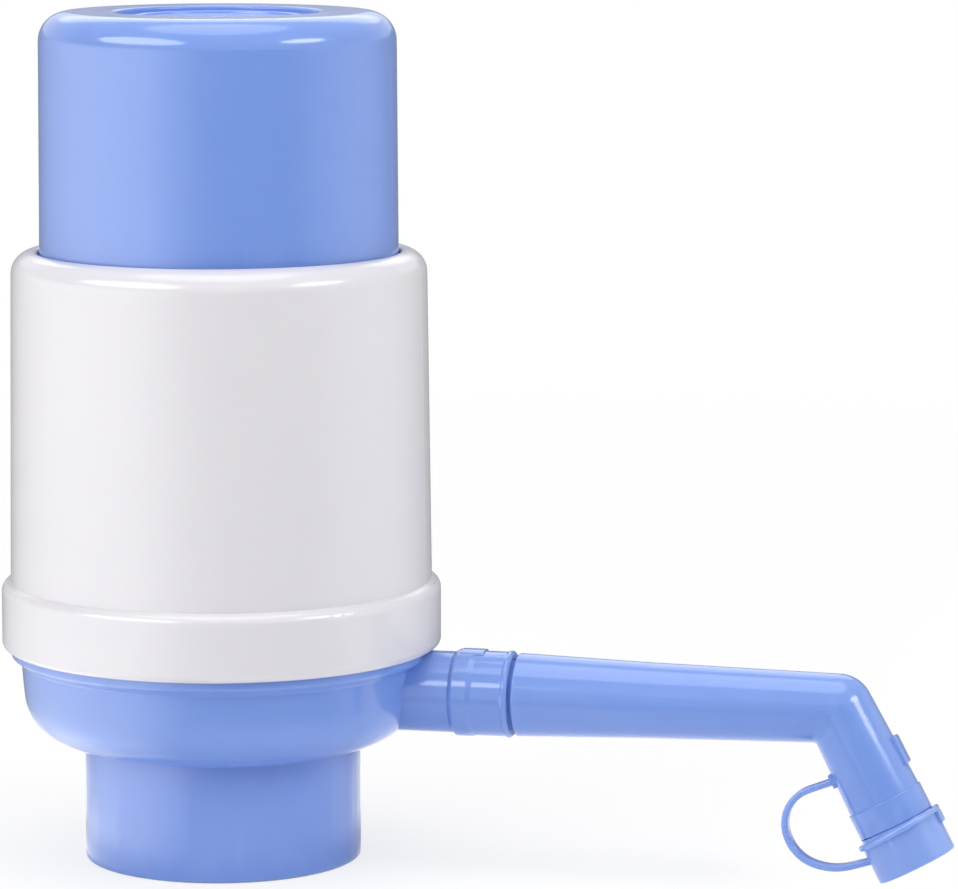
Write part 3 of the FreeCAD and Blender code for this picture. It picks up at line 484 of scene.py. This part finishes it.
def round_wire(bm, corners, closed=True):
    """Wire in the X-Z plane through corners in millimetres: (x, z), or (x, z, radius) if round."""
    points = [Vector((corner[0], 0, corner[1])) * MM for corner in corners]
    verts = [bm.verts.new(point) for point in points]
    count = len(verts)
    for index in range(count if closed else count - 1):
        bm.edges.new((verts[index], verts[(index + 1) % count]))
    for index, corner in enumerate(corners):
        if len(corner) < 3:
            continue
        back = (points[index - 1] - points[index]).normalized()
        ahead = (points[(index + 1) % count] - points[index]).normalized()
        reach = corner[2] * MM / math.tan(back.angle(ahead) / 2)
        bmesh.ops.bevel(
            bm, geom=[verts[index]], offset=reach, offset_type="OFFSET", segments=6, profile=0.5,
            affect="VERTICES", material=-1,
        )


def turn(bm, steps=ROUND_STEPS, axis=Z_AXIS):
    """Spin everything in the mesh once round an axis and close it."""
    bmesh.ops.spin(
        bm, geom=list(bm.verts) + list(bm.edges), cent=(0, 0, 0), axis=axis, dvec=(0, 0, 0),
        angle=2 * math.pi, steps=steps, use_merge=True,
    )
    bmesh.ops.remove_doubles(bm, verts=list(bm.verts), dist=0.000001)
    bmesh.ops.recalc_face_normals(bm, faces=list(bm.faces))


def new_object(bm, name, material):
    """Object of one material in the scene, from a finished mesh."""
    mesh = bpy.data.meshes.new(name)
    bm.to_mesh(mesh)
    bm.free()
    mesh.materials.append(material)
    made = bpy.data.objects.new(name, mesh)
    bpy.context.scene.collection.objects.link(made)
    return made


def finish_piece(bm, name, material):
    """Smooth object from a mesh, with its creases kept sharp."""
    for edge in bm.edges:
        edge.smooth = len(edge.link_faces) < 2 or edge.calc_face_angle() < FLAT_ANGLE
    for face in bm.faces:
        face.smooth = True
    piece = new_object(bm, name, material)
    shading = piece.modifiers.new("weighted_normals", "WEIGHTED_NORMAL")
    shading.keep_sharp = True
    return piece


# ---------------------------------------------------------------------------------------------
# Spout collar
# ---------------------------------------------------------------------------------------------

COLLAR_START = 54.7
COLLAR_END = 68.2
COLLAR_LIP_START = 66.4
COLLAR_BORE_RADIUS = 8.45
COLLAR_LIP_BORE_RADIUS = 8.0
COLLAR_RADIUS = 9.85
COLLAR_FRONT_RADIUS = 9.6
COLLAR_STEP_START = COLLAR_START + 4.2
COLLAR_STEP_END = COLLAR_START + 5.4
BEAD_RADIUS = COLLAR_FRONT_RADIUS + 0.22
PAD_START = COLLAR_START + 1.3
PAD_END = COLLAR_START + 7.0
PAD_ROOT_RADIUS = COLLAR_RADIUS - 0.8
PAD_TOP_RADIUS = COLLAR_RADIUS + 0.2
PAD_EDGE = 0.45
PAD_ARC = math.radians(36)
PAD_STEPS = 18


def make_spout_collar():
    """Ring over the stub's end: chamfered rim, soft step, fine bead at its mouth, low pad on top."""
    bm = bmesh.new()
    round_wire(bm, [
        (COLLAR_START, COLLAR_BORE_RADIUS),
        (COLLAR_START, COLLAR_RADIUS - 0.7, 0.12),
        (COLLAR_START + 0.9, COLLAR_RADIUS, 0.5),
        (COLLAR_STEP_START, COLLAR_RADIUS, 0.5),
        (COLLAR_STEP_END, COLLAR_FRONT_RADIUS, 0.5),
        (COLLAR_END - 1.5, COLLAR_FRONT_RADIUS, 0.3),
        (COLLAR_END - 1.0, BEAD_RADIUS, 0.25),
        (COLLAR_END - 0.5, BEAD_RADIUS, 0.25),
        (COLLAR_END, COLLAR_FRONT_RADIUS - 0.35, 0.15),
        (COLLAR_END, COLLAR_LIP_BORE_RADIUS),
        (COLLAR_LIP_START, COLLAR_LIP_BORE_RADIUS),
        (COLLAR_LIP_START, COLLAR_BORE_RADIUS),
    ])
    turn(bm, axis=X_AXIS)
    ring_faces = set(bm.faces)
    corners = [bm.verts.new(Vector((x, 0, z)) * MM) for x, z in (
        (PAD_START, PAD_ROOT_RADIUS), (PAD_START, PAD_TOP_RADIUS),
        (PAD_END, PAD_TOP_RADIUS), (PAD_END, PAD_ROOT_RADIUS))]
    section = bm.faces.new(corners)
    bmesh.ops.rotate(bm, verts=corners, cent=(0, 0, 0), matrix=Matrix.Rotation(-PAD_ARC / 2, 3, "X"))
    bmesh.ops.spin(
        bm, geom=[section] + list(section.edges) + corners, cent=(0, 0, 0), axis=X_AXIS, dvec=(0, 0, 0),
        angle=PAD_ARC, steps=PAD_STEPS, use_merge=False, use_duplicate=False,
    )
    pad_faces = [face for face in bm.faces if face not in ring_faces]
    crests = [
        edge for edge in {edge for face in pad_faces for edge in face.edges}
        if edge.is_manifold and edge.calc_face_angle() > math.radians(60)
        and min(math.hypot(vert.co.y, vert.co.z) for vert in edge.verts) > (PAD_TOP_RADIUS - 0.05) * MM
    ]
    bmesh.ops.bevel(
        bm, geom=crests, offset=PAD_EDGE * MM, offset_type="OFFSET", segments=5, profile=0.5,
        affect="EDGES", material=-1,
    )
    bmesh.ops.recalc_face_normals(bm, faces=list(bm.faces))
    bmesh.ops.translate(bm, verts=list(bm.verts), vec=(0, 0, SPOUT_HEIGHT))
    piece = finish_piece(bm, "collar_ring", spout_blue)
    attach(piece, "pump_base")
    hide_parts("spout_collar")


make_spout_collar()

# ---------------------------------------------------------------------------------------------
# Dust cap and its strap, in the leg's frame: Z down the leg from the elbow, X to the pump's side
# ---------------------------------------------------------------------------------------------

ELBOW_REACH = 141.9
ELBOW_DROP = math.radians(61.65)
LEG_FRAME = (
    Matrix.Translation((ELBOW_REACH * MM, 0, SPOUT_HEIGHT))
    @ Matrix.Rotation(-SPOUT_TURN, 4, "X")
    @ Matrix.Rotation(math.pi / 2 + ELBOW_DROP, 4, "Y")
)

CAP_MOUTH = 28.5
CAP_LIP_RADIUS = 8.75
CAP_BORE_RADIUS = 8.16
CAP_WALL_RADIUS = 9.25
CAP_FLANGE_RADIUS = 10.1
CAP_FLANGE_START = 29.1
CAP_FLANGE_THICKNESS = 1.15
CAP_FLANGE_SLANT = math.radians(2.3)
CAP_END = 38.9
CAP_INNER_END = 37.7
CAP_DISH_RADIUS = 6.6
CAP_DISH_DEPTH = 0.3
TAB_LENGTH = 4.1
TAB_WIDTH = 4.0
TAB_DEPTH = 1.2
TAB_EDGE = 0.45
TAB_REACH = CAP_WALL_RADIUS + 0.75


def make_dust_cap():
    """Push-on cap: rounded flange at the mouth, dished end and a soft pull tab."""
    bm = bmesh.new()
    round_wire(bm, [
        (CAP_BORE_RADIUS, CAP_MOUTH),
        (CAP_LIP_RADIUS, CAP_MOUTH),
        (CAP_LIP_RADIUS, CAP_FLANGE_START, 0.1),
        (CAP_FLANGE_RADIUS, CAP_FLANGE_START, 0.45),
        (CAP_FLANGE_RADIUS, CAP_FLANGE_START + CAP_FLANGE_THICKNESS, 0.45),
        (CAP_WALL_RADIUS, CAP_FLANGE_START + CAP_FLANGE_THICKNESS, 0.1),
        (CAP_WALL_RADIUS, CAP_END, 0.48),
        (CAP_DISH_RADIUS, CAP_END, 0.3),
        (CAP_DISH_RADIUS - 0.4, CAP_END - CAP_DISH_DEPTH, 0.3),
        (0, CAP_END - CAP_DISH_DEPTH),
        (0, CAP_INNER_END),
        (CAP_BORE_RADIUS, CAP_INNER_END, 0.5),
    ])
    turn(bm)
    brim = [vert for vert in bm.verts if CAP_MOUTH + 0.1 < vert.co.z / MM < CAP_FLANGE_START + 2]
    slant = Matrix.Identity(4)
    slant[2][0] = math.tan(CAP_FLANGE_SLANT)
    bmesh.ops.transform(bm, matrix=slant, verts=brim)
    tab = bmesh.ops.create_cube(bm, size=1.0)["verts"]
    bmesh.ops.scale(bm, verts=tab, vec=(TAB_DEPTH * MM, TAB_WIDTH * MM, TAB_LENGTH * MM))
    edges = list({edge for vert in tab for edge in vert.link_edges})
    rounded = bmesh.ops.bevel(
        bm, geom=edges, offset=TAB_EDGE * MM, offset_type="OFFSET", segments=4, profile=0.5,
        affect="EDGES", material=-1,
    )
    tab = {vert for vert in tab if vert.is_valid}
    tab = list(tab.union(vert for face in rounded["faces"] for vert in face.verts))
    place = Vector((TAB_DEPTH / 2 - TAB_REACH, 0, CAP_MOUTH + TAB_LENGTH / 2)) * MM
    bmesh.ops.translate(bm, verts=tab, vec=place)
    bmesh.ops.transform(bm, matrix=LEG_FRAME, verts=list(bm.verts))
    piece = finish_piece(bm, "dust_cap_cup", tether_blue)
    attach(piece, "dust_cap_body")
    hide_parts("dust_cap")


STRAP_START = (7.6, 14.07)
STRAP_HEADING = math.radians(-7.1)
STRAP_WIDTH = 4.0
STRAP_THICKNESS = 1.5
STRAP_EDGE = 0.45
STRAP_FIRST_RUN = 6.6
STRAP_BENDS = ((8.156, 83.4), (9.806, 57.7), (14.08, 34.3))
STRAP_LAST_RUN = 4.6


def make_cap_strap():
    """Flat flexible ribbon that leaves the leg, loops round and runs into the dust cap's wall."""
    bm = bmesh.new()
    heading = STRAP_HEADING
    place = Vector((STRAP_START[0], 0, STRAP_START[1])) * MM
    half = STRAP_WIDTH / 2 * MM
    across = Vector((-math.sin(heading), 0, math.cos(heading)))
    corners = [
        bm.verts.new(place + across * (side * STRAP_THICKNESS / 2 * MM) + Y_AXIS * (edge * half))
        for side, edge in ((-1, -1), (1, -1), (1, 1), (-1, 1))
    ]
    for index, corner in enumerate(corners):
        bm.edges.new((corner, corners[(index + 1) % 4]))
    for corner in corners:
        bmesh.ops.bevel(
            bm, geom=[corner], offset=STRAP_EDGE * MM, offset_type="OFFSET", segments=4, profile=0.5,
            affect="VERTICES", material=-1,
        )

    def run(loop, length, steps):
        """Grow the ribbon straight ahead. Gives its new end and that end's middle."""
        ahead = Vector((math.cos(heading), 0, math.sin(heading)))
        for _ in range(steps):
            edges = [item for item in loop if isinstance(item, bmesh.types.BMEdge)]
            grown = bmesh.ops.extrude_edge_only(bm, edges=edges)["geom"]
            moved = [item for item in grown if isinstance(item, bmesh.types.BMVert)]
            bmesh.ops.translate(bm, verts=moved, vec=ahead * (length * MM / steps))
            rim = [item for item in grown if isinstance(item, bmesh.types.BMEdge)]
            loop = moved + [edge for edge in rim if all(vert in moved for vert in edge.verts)]
        return loop, place + ahead * (length * MM)

    loop, place = run(list(bm.edges), STRAP_FIRST_RUN, 6)
    for radius, degrees in STRAP_BENDS:
        centre = place + Vector((-math.sin(heading), 0, math.cos(heading))) * (radius * MM)
        bend = math.radians(degrees)
        swept = bmesh.ops.spin(
            bm, geom=loop, cent=centre, axis=-Y_AXIS, dvec=(0, 0, 0), angle=bend,
            steps=round(degrees / 4), use_merge=False,
        )
        loop = swept["geom_last"]
        heading += bend
        place = centre + Vector((math.sin(heading), 0, -math.cos(heading))) * (radius * MM)
    run(loop, STRAP_LAST_RUN, 4)
    bmesh.ops.holes_fill(bm, edges=list(bm.edges), sides=0)
    bmesh.ops.recalc_face_normals(bm, faces=list(bm.faces))
    bmesh.ops.transform(bm, matrix=LEG_FRAME, verts=list(bm.verts))
    piece = finish_piece(bm, "dust_cap_strap", tether_blue)
    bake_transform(piece)
    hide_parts("cap_strap")


make_dust_cap()
make_cap_strap()

# ---------------------------------------------------------------------------------------------
# Bellows and return spring
# ---------------------------------------------------------------------------------------------

BELLOWS_BOTTOM = 56.25
BELLOWS_TOP = 130.9
BELLOWS_FLANGE = 1.6
BELLOWS_FLANGE_RADIUS = 42.05
BELLOWS_CREST = 38.4
BELLOWS_ROOT = 31.0
BELLOWS_WALL = 1.1
BELLOWS_FOLDS = 6
BELLOWS_STEPS = 128
FOLD_OUTSIDE = 1.3
FOLD_INSIDE = 0.5
DECK_TOP = 56.2


def make_bellows():
    """Folded rubber wall with rounded crests and roots between two flat flanges."""
    low = BELLOWS_BOTTOM + BELLOWS_FLANGE
    high = BELLOWS_TOP - BELLOWS_FLANGE
    half_fold = (high - low) / (2 * BELLOWS_FOLDS)
    offset = BELLOWS_WALL * math.hypot(BELLOWS_CREST - BELLOWS_ROOT, half_fold) / half_fold
    inner_root = BELLOWS_ROOT - offset
    outside = []
    inside = []
    for index in range(1, 2 * BELLOWS_FOLDS):
        height = low + index * half_fold
        if index % 2:
            outside.append((BELLOWS_CREST, height, FOLD_OUTSIDE))
            inside.append((BELLOWS_CREST - offset, height, FOLD_INSIDE))
        else:
            outside.append((BELLOWS_ROOT, height, FOLD_INSIDE))
            inside.append((inner_root, height, FOLD_OUTSIDE))
    corners = [(inner_root, BELLOWS_BOTTOM), (BELLOWS_FLANGE_RADIUS, BELLOWS_BOTTOM, 0.4)]
    corners += [(BELLOWS_FLANGE_RADIUS, low, 0.4), (BELLOWS_ROOT, low, 0.4)] + outside
    corners += [(BELLOWS_ROOT, high, 0.4), (BELLOWS_FLANGE_RADIUS, high, 0.4)]
    corners += [(BELLOWS_FLANGE_RADIUS, BELLOWS_TOP, 0.4), (inner_root, BELLOWS_TOP)]
    corners += inside[::-1]
    bm = bmesh.new()
    round_wire(bm, corners)
    turn(bm, BELLOWS_STEPS)
    piece = finish_piece(bm, "folded_bellows", bellows_rubber)
    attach(piece, "pump_base")
    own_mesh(piece)
    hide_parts("bellows")


SPRING_RADIUS = 16.0
SPRING_WIRE = 0.9
SPRING_BOTTOM = DECK_TOP + 0.1
SPRING_TOP = 130.8
SPRING_TURNS = 6
STEPS_A_TURN = 48


def make_return_spring():
    """Coil spring with a closed coil at each end."""
    bm = bmesh.new()
    section = bmesh.ops.create_circle(bm, cap_ends=False, segments=12, radius=SPRING_WIRE * MM)["verts"]
    bmesh.ops.rotate(bm, verts=section, cent=(0, 0, 0), matrix=Matrix.Rotation(math.pi / 2, 3, "X"))
    bottom = SPRING_BOTTOM + SPRING_WIRE
    bmesh.ops.translate(bm, verts=section, vec=Vector((SPRING_RADIUS, 0, bottom)) * MM)
    closed_rise = 2 * SPRING_WIRE * 1.05
    open_rise = (SPRING_TOP - SPRING_WIRE - bottom - 2 * closed_rise) / (SPRING_TURNS - 1)
    loop = section + list(bm.edges)
    for turns, rise in ((1, closed_rise), (SPRING_TURNS - 1, open_rise), (1, closed_rise)):
        swept = bmesh.ops.spin(
            bm, geom=loop, cent=(0, 0, 0), axis=Z_AXIS, dvec=(0, 0, rise * MM / STEPS_A_TURN),
            angle=2 * math.pi * turns, steps=turns * STEPS_A_TURN, use_merge=False,
        )
        loop = swept["geom_last"]
    bmesh.ops.holes_fill(bm, edges=list(bm.edges), sides=0)
    bmesh.ops.recalc_face_normals(bm, faces=list(bm.faces))
    piece = finish_piece(bm, "coil_spring", spring_steel)
    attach(piece, "pump_base")
    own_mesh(piece)
    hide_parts("return_spring")


make_bellows()
make_return_spring()

# ---------------------------------------------------------------------------------------------
# Plain raised ring and gate mark in the press cap's recess
# ---------------------------------------------------------------------------------------------

RECESS_FLOOR = 192.7 - 1.3
RING_INNER_RADIUS = 17.6
RING_OUTER_RADIUS = 19.2
RING_TOP = RECESS_FLOOR + 0.45
GATE_RADIUS = 2.2
GATE_TOP = RECESS_FLOOR + 0.2


def make_recess_ring():
    """Low round-backed ring on the recess floor, with the small disc left by the mould's gate."""
    bm = bmesh.new()
    floor = RECESS_FLOOR - 0.2
    round_wire(bm, [
        (RING_INNER_RADIUS, floor), (RING_OUTER_RADIUS, floor),
        (RING_OUTER_RADIUS - 0.2, RING_TOP, 0.3), (RING_INNER_RADIUS + 0.2, RING_TOP, 0.3)])
    round_wire(bm, [
        (0, floor), (GATE_RADIUS, floor), (GATE_RADIUS - 0.1, GATE_TOP, 0.15), (0, GATE_TOP)
    ], closed=False)
    turn(bm)
    piece = finish_piece(bm, "recess_ring", cap_blue)
    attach(piece, "press_cap_body")


make_recess_ring()

# ---------------------------------------------------------------------------------------------
# Studio
# ---------------------------------------------------------------------------------------------

LIGHT_TARGET = Vector((0, 0, 0.10))
FLOOR_COLOUR = (0.92, 0.92, 0.92, 1)
FLOOR_SIZE = 4.0
FLOOR_HEIGHT = -0.0001
FLOOR_NEAR = 0.25
FLOOR_FAR = 0.9
FLOOR_SEEN_SHARE = 0.75
FLOOR_EDGE_START = 0.105
FLOOR_EDGE_END = 0.135


def seen_rays(tree):
    """1 for camera, glossy and transmission rays, otherwise 0."""
    path = add_node(tree, "ShaderNodeLightPath")
    seen = calculate(tree, "MAXIMUM", path.outputs["Is Camera Ray"], path.outputs["Is Glossy Ray"])
    return calculate(tree, "MAXIMUM", seen, path.outputs["Is Transmission Ray"])


def floor_white():
    """White that fades into the background, clear from below and past the table's edge."""
    material, tree, shader = new_material("studio_floor_white")
    shader.inputs["Base Color"].default_value = FLOOR_COLOUR
    shader.inputs["Roughness"].default_value = 0.9
    shader.inputs["Specular IOR Level"].default_value = 0.0
    glow = add_node(tree, "ShaderNodeEmission", {"Color": WHITE, "Strength": 1.0})
    place = add_node(tree, "ShaderNodeTexCoord").outputs["Object"]
    away = add_node(tree, "ShaderNodeVectorMath", operation="LENGTH")
    join(tree, place, away.inputs[0])
    share = remap(
        tree, away.outputs["Value"], FLOOR_NEAR, FLOOR_FAR, FLOOR_SEEN_SHARE, 1.0, smooth=True)
    factor = calculate(tree, "MULTIPLY", seen_rays(tree), share)
    mix = add_node(tree, "ShaderNodeMixShader")
    join(tree, factor, mix.inputs[0])
    join(tree, shader.outputs[0], mix.inputs[1])
    join(tree, glow.outputs[0], mix.inputs[2])
    split = add_node(tree, "ShaderNodeSeparateXYZ")
    join(tree, place, split.inputs[0])
    past_edge = remap(tree, split.outputs["X"], FLOOR_EDGE_START, FLOOR_EDGE_END, smooth=True)
    diffuse_ray = add_node(tree, "ShaderNodeLightPath").outputs["Is Diffuse Ray"]
    direct = calculate(tree, "SUBTRACT", 1.0, diffuse_ray)
    past_edge = calculate(tree, "MULTIPLY", past_edge, direct)
    below = add_node(tree, "ShaderNodeNewGeometry").outputs["Backfacing"]
    clear = add_node(tree, "ShaderNodeMixShader")
    join(tree, calculate(tree, "MAXIMUM", past_edge, below), clear.inputs[0])
    join(tree, mix.outputs[0], clear.inputs[1])
    join(tree, add_node(tree, "ShaderNodeBsdfTransparent").outputs[0], clear.inputs[2])
    join(tree, clear.outputs[0], tree.nodes["Material Output"].inputs["Surface"])
    return material


def make_floor():
    """White table that keeps the pump's soft shadow.

    Its edge is beside the pump, where the pulled dust cap dips below the table.
    """
    bm = bmesh.new()
    bmesh.ops.create_grid(bm, x_segments=1, y_segments=1, size=FLOOR_SIZE)
    bmesh.ops.translate(bm, verts=list(bm.verts), vec=(0, 0, FLOOR_HEIGHT))
    floor = new_object(bm, "studio_floor", floor_white())


AMBIENT = 0.34


def make_world():
    """Plain white surroundings as a viewer and a reflection see them, and a dimmer ambient light."""
    world = bpy.data.worlds.new("studio_world")
    bpy.context.scene.world = world
    world.use_nodes = True
    tree = world.node_tree
    background = tree.nodes["Background"]
    background.inputs["Color"].default_value = WHITE
    join(tree, remap(tree, seen_rays(tree), 0.0, 1.0, AMBIENT, 1.0), background.inputs["Strength"])


TENT_FOOT = 0.0325
TENT_RADIUS = 0.55
TENT_HEIGHT = 0.24
TENT_LIFT = 0.0006
TENT_STEPS = 96
FOOT_SHADE = 0.45
FOOT_SHADE_START = 0.035
FOOT_SHADE_END = 0.065
TABLE_GLOW = 1.3
TABLE_GLOW_START = 0.10
TABLE_GLOW_END = 0.19
# Azimuth from the camera's side, positive to the camera's right, and the glow there.
TENT_STOPS = (
    (-180, 0.3), (-156, 0.3), (-136, 0.7), (-112, 1.8), (-90, 3.1), (-70, 3.7),
    (-48, 3.5), (-34, 2.6), (-20, 1.5), (-4, 0.4), (10, 0.03), (44, 0.03),
    (58, 0.5), (72, 1.1), (96, 1.4), (118, 0.9), (145, 0.3), (180, 0.3),
)


def tent_glow():
    """Glow that follows TENT_STOPS round the tent, with a bright table and a shaded foot."""
    material, tree, _ = new_material("studio_tent_glow")
    glow = add_node(tree, "ShaderNodeEmission", {"Color": WHITE})
    place = add_node(tree, "ShaderNodeTexCoord").outputs["Object"]
    split = add_node(tree, "ShaderNodeSeparateXYZ")
    join(tree, place, split.inputs[0])
    toward = calculate(tree, "MULTIPLY", split.outputs["Y"], -1.0)
    azimuth = calculate(tree, "ARCTAN2", split.outputs["X"], toward)
    azimuth = calculate(tree, "SUBTRACT", azimuth, CAMERA_YAW)
    azimuth = calculate(tree, "WRAP", azimuth, math.pi, -math.pi)
    share = remap(tree, azimuth, -math.pi, math.pi)
    curve = add_node(tree, "ShaderNodeFloatCurve", {"Factor": 1.0})
    points = curve.mapping.curves[0].points
    while len(points) > 2:
        points.remove(points[1])
    brightest = max(stop[1] for stop in TENT_STOPS)
    points[0].location = (0, TENT_STOPS[0][1] / brightest)
    points[1].location = (1, TENT_STOPS[-1][1] / brightest)
    for degrees, strength in TENT_STOPS[1:-1]:
        points.new((degrees + 180) / 360, strength / brightest)
    curve.mapping.update()
    join(tree, share, curve.inputs["Value"])
    away = add_node(tree, "ShaderNodeVectorMath", operation="LENGTH")
    join(tree, place, away.inputs[0])
    distance = away.outputs["Value"]
    table_glow = remap(tree, distance, TABLE_GLOW_START, TABLE_GLOW_END, TABLE_GLOW, 0.0)
    strength = calculate(tree, "MULTIPLY", curve.outputs[0], brightest)
    strength = calculate(tree, "MAXIMUM", strength, table_glow)
    shade = remap(tree, distance, FOOT_SHADE_START, FOOT_SHADE_END, FOOT_SHADE, 1.0, smooth=True)
    join(tree, calculate(tree, "MULTIPLY", strength, shade), glow.inputs["Strength"])
    join(tree, glow.outputs[0], tree.nodes["Material Output"].inputs["Surface"])
    return material


def make_tent():
    """Dished reflector on the table that only reflections see: bright on the left, dark in front."""
    bm = bmesh.new()
    rim = [bm.verts.new((0, -radius, height)) for radius, height in (
        (TENT_FOOT, TENT_LIFT), (TENT_RADIUS, TENT_LIFT), (TENT_RADIUS, TENT_HEIGHT))]
    bm.edges.new(rim[:2])
    bm.edges.new(rim[1:])
    turn(bm, TENT_STEPS)
    tent = new_object(bm, "studio_tent", tent_glow())
    for kind in ("camera", "diffuse", "transmission", "volume_scatter", "shadow"):
        setattr(tent, f"visible_{kind}", False)


STUDIO_LAMPS = (
    # name, azimuth as in TENT_STOPS, elevation, distance, width, height, power, diffuse, glossy
    ("key_left", -50, 32, 1.2, 1.30, 0.80, 6.2, True, False),
    ("fill_right", 62, 32, 1.2, 0.90, 0.60, 4.8, True, False),
    ("key_sheen", -51, 31, 1.2, 1.25, 0.50, 10.5, False, True),
    ("fill_sheen", 62, 29, 1.2, 0.62, 0.26, 4.0, False, True),
    ("top_light", 0, 86, 1.4, 1.3, 1.3, 10.0, True, True),
    ("back_light", 180, 35, 1.6, 1.6, 1.0, 4.5, True, True),
)


def softbox(name, azimuth, elevation, distance, width, height, power, diffuse, glossy):
    """Area lamp aimed at the pump from an azimuth and elevation in degrees, at a distance in metres."""
    around = CAMERA_YAW + math.radians(azimuth)
    rise = math.radians(elevation)
    level = math.cos(rise)
    out = Vector((math.sin(around) * level, -math.cos(around) * level, math.sin(rise)))
    lamp = bpy.data.lights.new(name, "AREA")
    lamp.shape = "ELLIPSE"
    lamp.size = width
    lamp.size_y = height
    lamp.energy = power
    holder = bpy.data.objects.new(name, lamp)
    holder.location = LIGHT_TARGET + out * distance
    holder.rotation_euler = out.to_track_quat("Z", "Y").to_euler()
    holder.visible_camera = False
    holder.visible_diffuse = diffuse
    holder.visible_glossy = glossy
    bpy.context.scene.collection.objects.link(holder)


make_floor()
make_world()
make_tent()
for settings in STUDIO_LAMPS:
    softbox(*settings)
